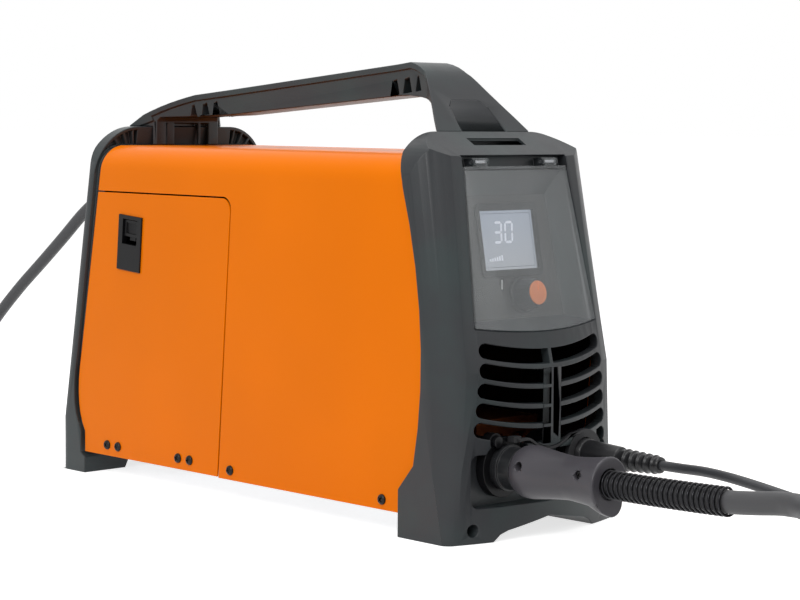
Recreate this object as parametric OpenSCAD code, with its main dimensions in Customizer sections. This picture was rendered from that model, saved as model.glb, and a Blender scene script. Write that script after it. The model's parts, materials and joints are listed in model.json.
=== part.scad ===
// Inverter plasma cutter: sheet-metal case between two moulded bezels, arched handle,
// side door, flip-up lens over the control panel, torch lead, work lead and mains lead.
// Millimetres. X across the unit, Y from the front panel (-) to the rear panel (+), Z up.

/* [Unit] */
// Length over the bulged grille and the rear bezel
unit_l = 490; // [420:5:600]
// Width over the two bezels
unit_w = 188; // [170:2:236]
// Height of the flat top of both bezels
bezel_h = 299; // [280:1:340]
// Height of the top of the handle
handle_h = 353; // [335:1:420]
// Wall of the moulded bezels
bezel_wall = 3; // [2.5:0.5:4]
// Radius of the bezels' upper corners, seen from the front
bezel_corner_r = 43; // [36:1:50]

/* [Case] */
// How far the bezels stand out past the case on each side
bezel_overhang = 3; // [3:0.5:4]
// Height of the case's top face
case_h = 283; // [262:1:284]
// Height of the case's lower edge
case_z = 17.5; // [16:0.5:22]
// Radius of the case's long upper bends
case_bend_r = 21; // [12:1:30]
// Sheet thickness of case, door, tray and panels
sheet_t = 1.5; // [1:0.25:2]
// Slope of the case's rear edge, in degrees from upright
rear_rake = 10; // [4:1:12]
// Gap between the case and the rear bezel
rear_gap = 2.5; // [1.5:0.5:4]

/* [Front panel] */
// Bulge of the grille ahead of the bezel's front corners
bulge = 14; // [8:1:18]
// Half width of the bulged part
bulge_half = 77; // [68:1:79]
// Height at which the front starts to lean back
kink_z = 125; // [120:1:130]
// Lean of the panel and the lens, in degrees
front_tilt = 10.2; // [6:0.2:12]
// Thickness of the grille wall and its bars
grille_depth = 7; // [5:0.5:9]
// Number of slot rows
slot_rows = 5; // [4:1:6]
// Distance between slot rows
slot_pitch = 14.7; // [14:0.1:15]
// Height of one slot
slot_h = 11; // [9:0.5:11.5]
// Drop of the bars from their ends to the middle
bar_sag = 8.5; // [4:0.5:10]
// Width of the upright bar in the middle
mid_bar_w = 3.4; // [3:0.2:6]
// Depth of the control panel behind the front plane
panel_depth = 16; // [14:1:18]
// Width of the display window
screen_w = 59; // [50:1:62]
// Height of the display window
screen_h = 45; // [38:1:46]
// Wall of the clear lens
lens_t = 2; // [1.6:0.2:2.4]
// Diameter of the knob's skirt
knob_d = 28; // [24:1:30]
// Height of the knob
knob_h = 17; // [12:1:18]

/* [Door] */
// Distance from the door's top front corner to the middle of the unit
door_front = 19.4; // [10:0.2:30]
// Height of the door's upper edge
door_top = 243.4; // [225:0.2:250]
// Height of the door's lower edge
door_z = 18.2; // [17:0.2:22]
// Gap between the door and the case
door_gap = 1.2; // [0.8:0.2:2]
// Width of the latch
latch_w = 31; // [26:1:34]
// Height of the latch
latch_l = 46.5; // [40:0.5:50]
// Diameter of the door hinge pins
hinge_pin_d = 2.4; // [2:0.2:2.6]
// Radial clearance of every hinge pin and shaft
pin_clear = 0.05; // [0.03:0.01:0.1]

/* [Leads] */
// Diameter of the torch lead
torch_d = 16; // [16:1:16]
// Diameter of the work lead
work_d = 7.5; // [7.5:0.5:7.5]
// Diameter of the mains lead
mains_d = 10.5; // [10.5:0.5:10.5]
// Turns of the strain relief spring
spring_turns = 24; // [18:1:26]
// Wire diameter of the strain relief spring
spring_wire = 2; // [1.6:0.2:2.2]

/* [Connectors] */
// Sideways place of the torch socket
torch_x = -41.4; // [-44:0.2:-38]
// Height of the torch socket
torch_z = 54; // [52:1:56]
// Sideways place of the work socket
work_x = 40; // [38:1:44]
// Height of the work socket
work_z = 56.5; // [54:0.5:58]
// Outside diameter of the torch plug
plug_d = 39; // [34:1:42]
// Diameter of the torch plug's neck
neck_d = 31.5; // [28:0.5:33]
// Side of the square cooling fan
fan_size = 92; // [80:1:92]

/* [Hidden] */
$fn = 48;

plastic = [0.28, 0.285, 0.30];
dark = [0.13, 0.13, 0.14];
black = [0.05, 0.05, 0.055];
orange = [0.94, 0.47, 0.02];
steel = [0.70, 0.70, 0.72];
brass = [0.78, 0.62, 0.30];
cable = [0.25, 0.25, 0.26];
clear = [0.75, 0.80, 0.82, 0.35];
copper = [0.75, 0.42, 0.22];
board = [0.10, 0.35, 0.20];

front_y = -unit_l / 2;
rear_y = unit_l / 2;
half_w = unit_w / 2;
case_half = half_w - bezel_overhang;
corner_y = front_y + bulge;
bulge_r = (pow(bulge_half, 2) + pow(bulge, 2)) / (2 * bulge);
fit = 0.3;
over = 40;

// ---- Curves and solids used by several sub-parts ----

// Points along a three-point curve, without its last point
function bow(a, b, c, n = 6) =
    [for (i = [0:n - 1]) let (t = i / n) a * pow(1 - t, 2) + b * 2 * t * (1 - t) + c * pow(t, 2)];

// A list turned end for end
function flip(l) = [for (i = [len(l) - 1:-1:0]) l[i]];

// Outline points mirrored to the other side, in reverse order
function both_sides(l) = concat(l, [for (i = [len(l) - 1:-1:0]) [-l[i][0], l[i][1]]]);

// Prism of a front-view outline (x, z) between two depths
module from_front(y0, y1) {
    translate([0, y1, 0]) rotate([90, 0, 0]) linear_extrude(y1 - y0) children();
}

// Prism of a side-view outline (y, z) between two widths
module from_side(x0, x1) {
    translate([x0, 0, 0]) rotate([90, 0, 90]) linear_extrude(x1 - x0) children();
}

// Block between two corners
module block(low, high) {
    translate(low) cube(high - low);
}

// Round bar along Y
module bar_y(x, z, y0, y1, r) {
    translate([x, y1, z]) rotate([90, 0, 0]) cylinder(r = r, h = y1 - y0);
}

// Round bar along X
module bar_x(y, z, x0, x1, r) {
    translate([x0, y, z]) rotate([0, 90, 0]) cylinder(r = r, h = x1 - x0);
}

// Front-view arch with two rounded upper corners
module arch(half, z0, z1, r) {
    translate([-half, z0]) square([2 * half, z1 - r - z0]);
    translate([r - half, z0]) square([2 * (half - r), z1 - z0]);
    for (s = [-1, 1]) translate([s * (half - r), z1 - r]) circle(r);
}

// Rectangle with rounded corners, centred
module soft_rect(w, h, r) {
    square([w - 2 * r, h], center = true);
    square([w, h - 2 * r], center = true);
    for (sx = [-1, 1], sy = [-1, 1]) translate([sx * (w / 2 - r), sy * (h / 2 - r)]) circle(r);
}

// Pan-head screw pointing along +X from its bearing face, the head outside
module screw_x(p, head_r = 4, shank = 6) {
    translate(p) rotate([0, 90, 0]) {
        cylinder(r = 1.9, h = shank);
        difference() {
            translate([0, 0, -2.4]) cylinder(r1 = head_r * 0.6, r2 = head_r, h = 2.4);
            translate([0, 0, -2.5]) cylinder(r = 1.3, h = 1.3);
        }
    }
}

// Frame of the leaning front: origin on the kink, Y into the unit, Z up the slope
module lean() {
    translate([0, corner_y, kink_z]) rotate([-front_tilt, 0, 0]) children();
}

// ---- Tubes swept along points ----

function unit(v) = v / norm(v);
function tangent(p, i) = unit(p[min(i + 1, len(p) - 1)] - p[max(i - 1, 0)]);
function side_of(t) = unit(cross(t, abs(t[2]) > 0.9 ? [0, 1, 0] : [0, 0, 1]));
function ring(p, t, r, sides) = let (a = side_of(t), b = cross(a, t))
    [for (k = [0:sides - 1]) p + r * (cos(360 * k / sides) * a + sin(360 * k / sides) * b)];

// Closed solid over a row of rings, each of the same number of points
module skin(rings, sides, turned = false) {
    last = len(rings) - sides;
    walls = [for (i = [0:sides:last - sides], k = [0:sides - 1])
        let (a = i + k, b = i + (k + 1) % sides)
        each [[a, b, b + sides], [a, b + sides, a + sides]]];
    caps = [for (k = [1:sides - 2]) each [[0, k + 1, k], [last, last + k, last + k + 1]]];
    faces = concat(walls, caps);
    polyhedron(points = rings, faces = turned ? [for (f = faces) [f[2], f[1], f[0]]] : faces);
}

// Tube of radius r through the points, with triangular faces
module tube(points, r, sides = 8) {
    skin([for (i = [0:len(points) - 1]) each ring(points[i], tangent(points, i), r, sides)],
        sides, true);
}

// Smooth curve through hand-set points: steps points on each span
function curve_at(p0, p1, p2, p3, t) = 0.5 * (2 * p1 + (p2 - p0) * t
    + (2 * p0 - 5 * p1 + 4 * p2 - p3) * t * t + (3 * p1 - p0 - 3 * p2 + p3) * t * t * t);
// with a short straight run at either end, so that two tubes meet squarely
function smooth(p, steps) = let (n = len(p), s = [for (i = [0:n - 2], k = [0:steps - 1])
        curve_at(p[max(i - 1, 0)], p[i], p[i + 1], p[min(i + 2, n - 1)], k / steps)])
    concat([p[0], p[0] + 2 * unit(p[1] - p[0])], [for (i = [1:len(s) - 1]) s[i]],
        [p[n - 1] - 2 * unit(p[n - 1] - p[n - 2]), p[n - 1]]);

// Piled coil, top layer first: it spirals in and out again at a steady rate and steps down a
// layer in the half turn where the spiral reverses. Fields: centre, outer radius, start angle,
// turns in a layer, layers, cord diameter, turning sense, straight run at the end
function ease(t) = t * t * (3 - 2 * t);
function coil_at(c, u) = let (
    m = c[3], d = c[5], gap = coil_gap, step = d + gap * 1.5, drop = d + gap,
    k = min(floor(u / m + 0.0001), c[4] - 1), f = u - k * m,
    turn = k < c[4] - 1 ? max(0, (f - m + 0.5) * 2) : 0,
    run = k < c[4] - 1 ? min(f, m - 0.5) : f,
    inner = c[1] - step * (m - 0.5),
    lift = 0.16 * d * sin(180 * turn),
    r = k % 2 == 0 ? c[1] - step * run - lift : inner + step * run + lift,
    z = d / 2 + coil_floor + drop * (c[4] - 1 - k - ease(turn)),
    a = c[2] + c[6] * 360 * u)
    [c[0][0] + r * cos(a), c[0][1] + r * sin(a), z];
function coil_points(c, n) = [for (i = [0:n]) coil_at(c, c[3] * c[4] * i / n)];
// The coil with one cord diameter of straight run at each end
function coil_path(c, n) = let (
    p = coil_points(c, n),
    a = unit(cross([0, 0, c[6]], [cos(c[2]), sin(c[2]), 0])),
    e = c[2] + c[6] * 360 * c[3] * c[4],
    b = unit(cross([0, 0, c[6]], [cos(e), sin(e), 0])))
    concat([p[0] - a * c[5]], p, [p[n] + b * c[7]]);
// Where the cord leaves its coil: place and heading in degrees
function coil_exit(c) = let (p = coil_at(c, c[3] * c[4]), e = c[2] + c[6] * 360 * c[3] * c[4])
    [p[0] - c[6] * sin(e) * c[7], p[1] + c[6] * cos(e) * c[7], p[2], e + c[6] * 90];
module after_coil(c) {
    e = coil_exit(c);
    translate([e[0], e[1], 0]) rotate([0, 0, e[3]]) children();
}
// Least distance between two turns of a path, less the cord: points more than half a turn apart
function least_gap(p, apart, d) =
    min([for (i = [0:len(p) - 1], j = [i + apart:len(p) - 1]) if (j > i) norm(p[i] - p[j])]) - d;
function path_length(p) =
    [for (i = 1, s = 0; i <= len(p); s = s + (i < len(p) ? norm(p[i] - p[i - 1]) : 0), i = i + 1)
        s][len(p) - 1];
coil_gap = 0.8;
coil_floor = 0.1;
loop_rings = 20;

// ---- Outlines of the case and the bezels ----

arc_n = 7;
shoulder_y = corner_y + 59;
hood_y = corner_y + 28;
hood_z = 281.5;
foot_back = corner_y + 53.5;
foot_h = 36;
// Rear border of the front bezel, from the floor up
front_border = concat(
    [[foot_back, 0], [foot_back, foot_h], [foot_back - 15.5, foot_h + 19]],
    bow([foot_back - 15.5, foot_h + 19], [foot_back - 35, bezel_h - 147],
        [shoulder_y - 6, bezel_h - 36], arc_n),
    [[shoulder_y - 6, bezel_h - 36], [shoulder_y + 3.5, bezel_h - 15],
     [shoulder_y + 4, bezel_h]]);
// Rear edge of the case and the door, from the top down
rear_low_y = rear_y - 20;
function rake_y(z) = rear_low_y - (z - 67) * tan(rear_rake);
case_rear = concat(
    [[rake_y(case_h), case_h]],
    bow([rake_y(104), 104], [rear_low_y + 4, 58], [rear_low_y - 11.5, 36], arc_n),
    [[rear_low_y - 11.5, 36], [rear_low_y - 11.5, case_z]]);
case_lap = 4;
case_side = concat(
    [for (p = front_border) [p[0] - case_lap, max(case_z, min(p[1], case_h))]], case_rear);

// Level sections of the front bezel: height, half width at the front corners, depth of the side
// curve, bulge, set-back and roundness of the corner
tilt_back = (bezel_h - kink_z) * tan(front_tilt);
sections = [[-5, 85, 11, bulge, 0, 0.9], [8, 84.5, 12, bulge, 0, 0.9], [52, 82, 22, bulge, 0, 0.7],
    [kink_z, bulge_half + 1, 25, bulge, 0, 0.64],
    [bezel_h, bulge_half - 10, 24, 2.5, tilt_back, 0.66],
    [bezel_h + 5, bulge_half - 10.3, 24, 2.5, tilt_back + 0.9, 0.66]];
function section_points(s, inset, front_inset) = let (
    half = half_w - inset, c = s[1] - inset, y = corner_y + s[4] + front_inset,
    sag = s[3] / pow(s[1], 2), a = half - c,
    right = concat(bow([c, y], [c + s[5] * a, y + (1 - s[5]) * s[2]], [half + 1.5, y + s[2]], 6),
        [[half + 1.5, y + s[2]], [half + 1.5, 0]]))
    [for (p = concat([for (i = [-8:7]) let (x = c * i / 8) [x, y - sag * (c * c - x * x)]],
        right, flip([for (q = right) [-q[0], q[1]]]))) [p[0], p[1], s[0]]];
section_n = 32;

// Volume of the front bezel, drawn in by a wall where the cavity is wanted
module front_form(inset, front_inset, z_low) {
    intersection() {
        from_side(-half_w, half_w) polygon(concat(
            [for (p = front_border) [p[0] - inset, max(p[1], z_low) - (p[1] > 200 ? inset : 0)]],
            [[shoulder_y, bezel_h - inset], [hood_y, hood_z - inset],
             [hood_y - 60, hood_z - 33 - inset], [hood_y - 60, z_low]]));
        from_front(front_y - 1, 0) arch(half_w - inset, 0, bezel_h - inset, bezel_corner_r - inset);
        skin([for (s = sections) each section_points(s, inset, front_inset)], section_n, true);
    }
}

// ---- Front bezel ----

lens_low = 32;
lens_high = 151;
lens_half_top = 55.5;
lens_half_low = 66;
lens_clear = 0.8;
lens_drop = 6;
panel_low = 38;
panel_high = 131;
panel_half_low = 52;
panel_half_top = 46;
lens_axis_t = lens_high + 3.5;
lens_axis_n = 1;
knuckle_r = 3;
knuckle_x = 38;
knuckle_w = 12;
ear_w = 2.2;
pocket_y = corner_y + 3;
pocket_low = 26;
pocket_high = 65;
pocket_half = 74;

// Front outline of the lens in the leaning frame; grow adds a margin
module lens_outline(grow) {
    points = concat([[lens_half_top + grow, lens_high + grow]],
        [for (i = [0:8]) let (s = 1 - i / 8) [(lens_half_low + grow) * s,
            lens_low - grow - lens_drop * (1 - s * s)]]);
    polygon(both_sides(points));
}

module panel_outline(grow) {
    polygon([[-panel_half_top - grow, panel_high + grow], [panel_half_top + grow, panel_high + grow],
        [panel_half_low + grow, panel_low - grow], [-panel_half_low - grow, panel_low - grow]]);
}

// Tapered bucket between the lens opening and the control panel
module bucket(grow) {
    hull() {
        from_front(1.5 - grow / 3, 2 - grow / 3) lens_outline(lens_clear + grow);
        from_front(panel_depth - 0.2, panel_depth) panel_outline(grow);
    }
}

// One row of the grille: two slots that follow the sagging bars
slot_top_z = 134;
bar_r = (pow(69, 2) + pow(bar_sag, 2)) / (2 * bar_sag);
module slot_row(i, x_from, x_to) {
    z = slot_top_z - i * slot_pitch;
    end = x_to - slot_h / 2;
    end_z = z + bar_r - sqrt(pow(bar_r, 2) - pow(end, 2));
    intersection() {
        difference() {
            translate([0, z + bar_r]) circle(bar_r + slot_h / 2, $fn = 180);
            translate([0, z + bar_r]) circle(bar_r - slot_h / 2, $fn = 180);
        }
        translate([x_from, z - over]) square([end - x_from, 2 * over]);
    }
    translate([end, end_z]) circle(slot_h / 2);
}

module grille_slots() {
    for (i = [0:slot_rows - 1], s = [0, 1]) mirror([s, 0])
        slot_row(i, mid_bar_w / 2, 65.5 + 1.6 * i);
    slot_row(slot_rows, 60, 73);
}

module front_bezel() {
    color(plastic) difference() {
        union() {
            difference() {
                front_form(0, 0, 0);
                difference() {
                    front_form(bezel_wall, grille_depth, 22);
                    lean() bucket(2.5);
                    lean() from_front(0, 11.5) translate([-lens_half_top - 4, lens_high - 8])
                        square([2 * lens_half_top + 8, 30]);
                    block([-pocket_half - 3, front_y, pocket_low - 3],
                        [pocket_half + 3, pocket_y + 3, pocket_high + 3]);
                }
                // seat of the case, open to the rear
                intersection() {
                    from_side(-half_w, half_w) polygon(concat(
                        [for (p = front_border) [p[0] - case_lap - fit, p[1]]],
                        [[0, bezel_h], [0, 0]]));
                    from_front(front_y, 0)
                        arch(case_half + fit, case_z - fit, case_h + fit, case_bend_r + fit);
                }
                // arch between the two feet
                from_front(front_y - 1, foot_back + 1) polygon([[-55, -1], [-55, 0], [-49, 5],
                    [-42, 7.5], [0, 14.5], [42, 7.5], [49, 5], [55, 0], [55, -1]]);
            }
            // ears that carry the lens pins
            lean() for (s = [-1, 1], e = [-1, 1])
                translate([s * knuckle_x + e * (knuckle_w / 2 + ear_w / 2 + fit), 0, 0])
                    from_side(-ear_w / 2, ear_w / 2) {
                        translate([lens_axis_n, lens_axis_t]) circle(knuckle_r);
                        translate([lens_axis_n, lens_axis_t - knuckle_r])
                            square([14, 2 * knuckle_r]);
                    }
        }
        // opening of the control panel and its lens
        lean() bucket(0);
        lean() from_front(-over, 2) lens_outline(lens_clear);
        // hinge trough above the lens, cut round the ears
        lean() difference() {
            from_front(-over, 8) translate([-lens_half_top - 2, lens_high - 2])
                square([2 * lens_half_top + 4, 10.5]);
            for (s = [-1, 1], e = [-1, 1])
                translate([s * knuckle_x + e * (knuckle_w / 2 + ear_w / 2 + fit), 0, 0])
                    from_side(-ear_w / 2, ear_w / 2) {
                        translate([lens_axis_n, lens_axis_t]) circle(knuckle_r);
                        translate([lens_axis_n, lens_axis_t - knuckle_r])
                            square([14, 2 * knuckle_r]);
                    }
        }
        lean() for (s = [-1, 1])
            bar_x(lens_axis_n, lens_axis_t, s * knuckle_x - 10, s * knuckle_x + 10, lens_pin_r);
        from_front(front_y - 1, corner_y + 30) grille_slots();
        // pocket round the two sockets
        from_front(front_y - 1, pocket_y) translate([0, (pocket_low + pocket_high) / 2])
            soft_rect(2 * pocket_half, pocket_high - pocket_low, 6);
        bar_y(torch_x, torch_z, front_y, foot_back, socket_r + fit);
        bar_y(work_x, work_z, front_y, foot_back, work_socket_r + fit);
        // room for the flanges, the release button and the strap
        bar_y(torch_x, torch_z, front_y - 1, pocket_y, ring_r + fit);
        bar_y(torch_x + latch_at[0], torch_z + latch_at[1], front_y - 1, pocket_y, 6.6 + fit);
        bar_y(work_x, work_z, front_y - 1, pocket_y, cap_ring_r + fit);
        from_front(front_y - 1, strap_y + fit) polygon(strap_outline(0.5));
        block([-39.5, front_y - 1, 71.6], [-30.5, pocket_y, 77.2]);
        // bolt holes in the feet and the slot in the hood
        for (s = [-1, 1]) bar_y(s * foot_hole_x, foot_hole_z, front_y, foot_back - 22, 4.6);
        from_front(hood_y - 20, hood_y + 23) translate([0, 291.5]) square([57, 5], center = true);
    }
}
lens_pin_r = 1.3;
socket_r = 20;
work_socket_r = 13;
foot_hole_x = 72.5;
foot_hole_z = 10;

// ---- Rear bezel ----

rear_out = concat([[rear_y, 0], [rear_y - 1, 46]],
    bow([rear_y - 1, 46], [rear_y - 12, bezel_h - 151], [rear_y - 38, bezel_h - 34], arc_n),
    [[rear_y - 38, bezel_h - 34], [rear_y - 42, bezel_h]]);
rear_in = concat([[rear_y - 35, 0], [rear_y - 35, 14]],
    [for (p = flip(case_rear)) [p[0] + rear_gap, p[1] == case_h ? bezel_h : max(p[1], 14)]]);
rear_open_half = 79;
rear_open_r = 26;
tongue_half = case_half - sheet_t - fit;
rear_face = rear_y - 57;

module rear_plan() {
    translate([-half_w, 0]) square([unit_w, rear_y - rear_corner_r]);
    translate([rear_corner_r - half_w, 0]) square([unit_w - 2 * rear_corner_r, rear_y]);
    for (s = [-1, 1]) translate([s * (half_w - rear_corner_r), rear_y - rear_corner_r])
        circle(rear_corner_r);
}
rear_corner_r = 10;

module rear_bezel() {
    color(plastic) difference() {
        union() {
            intersection() {
                from_side(-half_w, half_w) polygon(concat(rear_out, flip(rear_in)));
                from_front(0, rear_y) arch(half_w, 0, bezel_h, bezel_corner_r);
                linear_extrude(bezel_h) rear_plan();
                translate([0, rear_y - 1, 46]) rotate([rear_rake - 0.4, 0, 0])
                    translate([0, 1 - rear_y, -2 * over]) linear_extrude(bezel_h + 2 * over) rear_plan();
            }
            // tongue that enters the case and bears on the rear panel
            intersection() {
                from_front(rear_face, rear_y - 24) difference() {
                    arch(tongue_half, 35, case_h - sheet_t - fit, case_bend_r - sheet_t - fit);
                    arch(rear_open_half, 0, case_h - 14, rear_open_r);
                }
                from_side(-half_w, half_w) polygon([[rear_face, 35], [rear_face, bezel_h],
                    [rake_y(bezel_h) + 6, bezel_h], [rake_y(104) + 6, 104],
                    [rear_low_y, 70], [rear_low_y - 6, 35]]);
            }
        }
        // view through to the rear panel
        from_front(0, rear_y + 1) translate([0, (34 + case_h - 14) / 2])
            soft_rect(2 * rear_open_half, case_h - 14 - 34, rear_open_r);
        // gap between the rear feet
        from_front(0, rear_y + 1) polygon([[-50, -1], [-50, 0], [-44, 12], [44, 12], [50, 0],
            [50, -1]]);
        // open channel over the shoulders, between moulded ribs
        difference() {
            from_front(0, rake_y(bezel_h) + rear_gap + 9) difference() {
                arch(half_w - bezel_wall, case_h - 60, bezel_h - bezel_wall,
                    bezel_corner_r - bezel_wall);
                arch(case_half, 0, case_h + 0.6, case_bend_r);
            }
            for (s = [-1, 1], a = [8:14:50]) translate([s * (half_w - bezel_corner_r), 0,
                bezel_h - bezel_corner_r]) rotate([0, s * a, 0])
                    block([-1, 0, 0], [1, rear_y, 60]);
            block([-52, 0, case_h], [52, rear_y, bezel_h]);
        }
        for (s = [-1, 1]) bar_y(s * foot_hole_x, foot_hole_z, rear_y - 24, rear_y + 1, 4.6);
    }
}

// ---- Handle ----

grip_front = -113;
grip_slope = 0.1;
grip_half = 18;
leg_half = 51;
function top_z(y) = handle_h - (y - grip_front) * grip_slope;
leg_y = shoulder_y;
back_y = rear_y - 41.5;
handle_out = concat(
    [[leg_y, bezel_h]],
    bow([leg_y + 34, handle_h - 16], [leg_y + 47, handle_h - 1], [grip_front + 8, top_z(grip_front + 8)]),
    bow([back_y - 52, top_z(back_y - 52)], [back_y - 25, top_z(back_y - 25) - 3],
        [back_y - 9, bezel_h + 10]),
    [[back_y - 9, bezel_h + 10], [back_y, bezel_h]]);
handle_in = concat(
    [[leg_y + 5, bezel_h]],
    bow([leg_y + 11, bezel_h + 9], [leg_y + 30, top_z(-136) - 27], [-94, top_z(-94) - 25.5]),
    [[-94, top_z(-94) - 25.5], [back_y - 92, top_z(back_y - 92) - 21],
     [back_y - 20, bezel_h + 8], [back_y - 17.5, bezel_h + 5], [back_y - 17.5, case_h + fit],
     [rake_y(case_h) + rear_gap - fit, case_h + fit],
     [rake_y(case_h) + rear_gap - fit, bezel_h]]);
// Half widths along the handle, front to rear
handle_plan = concat(
    [[leg_half, leg_y]], bow([44, leg_y + 10.5], [28, leg_y + 32], [grip_half + 2, leg_y + 48]),
    [[grip_half, -94], [grip_half, back_y - 92]],
    bow([grip_half + 1.5, back_y - 54], [grip_half + 8, back_y - 24], [leg_half + 1, back_y]),
    [[leg_half + 1, back_y]]);

module handle_slice(profile, narrow) {
    intersection() {
        from_side(-half_w, half_w) polygon(profile);
        linear_extrude(handle_h + 1) polygon(both_sides(
            [for (p = handle_plan) [p[0] - narrow, p[1]]]));
    }
}

lip = 5;
module handle() {
    color(plastic) difference() {
        union() {
            // upper shell, then the narrower body under it
            handle_slice(concat(handle_out, [[back_y - 6, bezel_h], [back_y - 16, bezel_h + 5]],
                flip([for (p = handle_out) if (p[1] > bezel_h + 11) [p[0], p[1] - lip]]),
                [[leg_y + 4, bezel_h]]), 0);
            handle_slice(concat([for (p = handle_out) [p[0], p[1] - (p[1] > bezel_h ? 0.5 : 0)]],
                flip(handle_in)), 2.2);
        }
        // moulded pockets at both ends of the grip, with a web left in the middle
        for (s = [-1, 1]) {
            x0 = s > 0 ? 3 : -3 - grip_half;
            for (p = [[back_y - 80, 10], [back_y - 67, 12], [back_y - 52, 9]])
                from_side(x0, x0 + grip_half) polygon([
                    [p[0], top_z(p[0]) - 18], [p[0] + p[1] - 2.5, top_z(p[0] + p[1]) - 18],
                    [p[0] + p[1] - 4, top_z(p[0] + p[1]) - 9], [p[0] + 3, top_z(p[0]) - 8.5]]);
            for (p = [[grip_front - 10, 9], [grip_front + 2, 13], [grip_front + 18, 11]])
                from_side(x0, x0 + grip_half) polygon([
                    [p[0], top_z(p[0]) - 24], [p[0] + p[1] - 2, top_z(p[0] + p[1]) - 24],
                    [p[0] + p[1] - 4, top_z(p[0] + p[1]) - 13], [p[0] + 3, top_z(p[0]) - 13]]);
        }
        // hollow of the rear leg, with its screw boss and rib left standing
        difference() {
            block([-leg_half / 2 + 2, back_y - 18, case_h], [leg_half / 2 - 2, back_y - 12, bezel_h + 3]);
            bar_z(-19, back_y - 13, case_h, bezel_h + 4, 6);
            block([12, back_y - 18, case_h], [14.5, back_y - 12, bezel_h + 4]);
        }
        // shallow inset in the front face
        hull() for (s = [-1, 1]) {
            translate([s * 23, leg_y + 0.2, bezel_h + 1]) sphere(r = 1.2, $fn = 12);
            translate([s * 14, leg_y + 20.2, bezel_h + 24]) sphere(r = 1.2, $fn = 12);
            translate([s * 20, leg_y + 16, bezel_h + 19]) sphere(r = 1.2, $fn = 12);
        }
    }
}

module bar_z(x, y, z0, z1, r) {
    translate([x, y, z0]) cylinder(r = r, h = z1 - z0);
}

// ---- Case, tray and rear panel ----

door_half = case_half;
door_rake = 15.1;
door_r = 10;
// Side outline of the door's front and top edges; grow widens it for the opening in the case
module door_region(grow) {
    f = door_front - grow;
    t = door_top + grow;
    r = door_r;
    z0 = door_z - (grow > 0 ? 5 : 0);
    polygon(concat([[rear_y, t], [rear_y, z0], [f + door_rake, z0]],
        [for (a = [0:9:90]) [f + r - r * cos(a), t - r + r * sin(a)]]));
}

tray_left = case_half - 10;
module case_cover() {
    color(orange) difference() {
        intersection() {
            from_side(-case_half, case_half) polygon(case_side);
            difference() {
                from_front(front_y, rear_y) arch(case_half, case_z, case_h, case_bend_r);
                from_front(front_y - 1, rear_y + 1) union() {
                    arch(case_half - sheet_t, case_z + sheet_t, case_h - sheet_t,
                        case_bend_r - sheet_t);
                    translate([-tray_left - fit, 0]) square([2 * (tray_left + fit), 40]);
                }
            }
        }
        from_side(-case_half - 1, -case_half + 14) door_region(door_gap);
        for (p = case_screw_spots) translate([-case_half - 1, p[0], p[1]]) rotate([0, 90, 0])
            cylinder(r = 2.1, h = unit_w);
    }
}
case_screw_z = 25.4;
case_screw_spots = [[door_front - 1.4, case_screw_z], [corner_y + 73, case_screw_z]];

module base_tray() {
    y0 = foot_back + fit;
    y1 = rear_y - 35 - fit;
    color(steel) difference() {
        union() {
            block([-tray_left, y0, case_z - 0.5], [tray_left, y1, case_z + sheet_t]);
            block([-70, y0, case_z], [70, y0 + sheet_t, 34]);
            for (s = [0, 1]) mirror([s, 0, 0]) {
                block([-tray_left, y0, case_z], [sheet_t - tray_left, y1, 34]);
                // screw lugs that reach out to the wall of the case
                for (p = case_screw_spots) block([sheet_t + fit - case_half, p[0] - 8, 21],
                    [-tray_left, p[0] + 8, 34]);
            }
        }
        for (p = case_screw_spots) bar_x(p[0], p[1], -half_w, half_w, 1.95);
        // drain and air slots
        for (x = [-40:20:60]) block([x, 150, case_z - 1], [x + 8, 185, case_z + 3]);
    }
}

module rear_panel() {
    z0 = case_z + sheet_t;
    color(dark) difference() {
        from_front(rear_face - sheet_t, rear_face) arch(case_half - sheet_t - fit,
            z0, case_h - sheet_t - fit, case_bend_r - sheet_t - fit);
        // clear of the tray's sides and the door's hinge line
        for (s = [0, 1]) mirror([s, 0, 0])
            block([-half_w, 0, 0], [sheet_t + fit - tray_left, rear_y, 34 + fit]);
        bar_y(mains_x, mains_z, 0, rear_y, gland_r);
        bar_y(air_x, air_z, 0, rear_y, 6.7);
        translate([switch_x - 14, 0, switch_z - 11]) cube([28, rear_y, 22]);
        // ring vents in front of the fan
        from_front(0, rear_y) translate([fan_x, fan_z]) difference() {
            for (r = [14:9:41]) difference() {
                circle(r + 3);
                circle(r - 2.5);
            }
            for (a = [45, 135]) rotate(a) square([100, 5], center = true);
        }
        for (s = [-1, 1]) for (z = [60:14:200]) if (s < 0)
            translate([-62, 0, z]) cube([34, rear_y, 5]);
    }
}
mains_x = -40;
mains_z = 238;
gland_r = 9;
air_x = 52;
air_z = 186;
switch_x = 36;
switch_z = 236;
fan_x = 30;
fan_z = 108;

tray_x = -36;
tray_y0 = 44;
tray_z1 = 212;
tray_z0 = 36;
tray_rim = case_half - 5.5;
module storage_tray() {
    y1 = rear_face - sheet_t - fit;
    color(dark) difference() {
        union() {
            block([-tray_rim, tray_y0, tray_z0], [tray_x, y1, tray_z1]);
            block([-tray_rim, tray_y0 - 8, tray_z0 - 2], [sheet_t - tray_rim, y1, tray_z1 + 10]);
            // legs down to the base tray
            for (y = [tray_y0 + 6, y1 - 26])
                block([tray_x - 12, y, case_z + sheet_t], [tray_x, y + 20, tray_z0]);
        }
        block([-tray_rim - 1, tray_y0 + sheet_t, tray_z0 + sheet_t],
            [tray_x - sheet_t, y1 - sheet_t, tray_z1 - sheet_t]);
        for (y = [tray_y0 + 6, y1 - 26])
            block([tray_x - 12 - 1, y - 1, case_z + sheet_t + 2], [tray_x - 2, y + 21, tray_z0]);
    }
}

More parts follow.
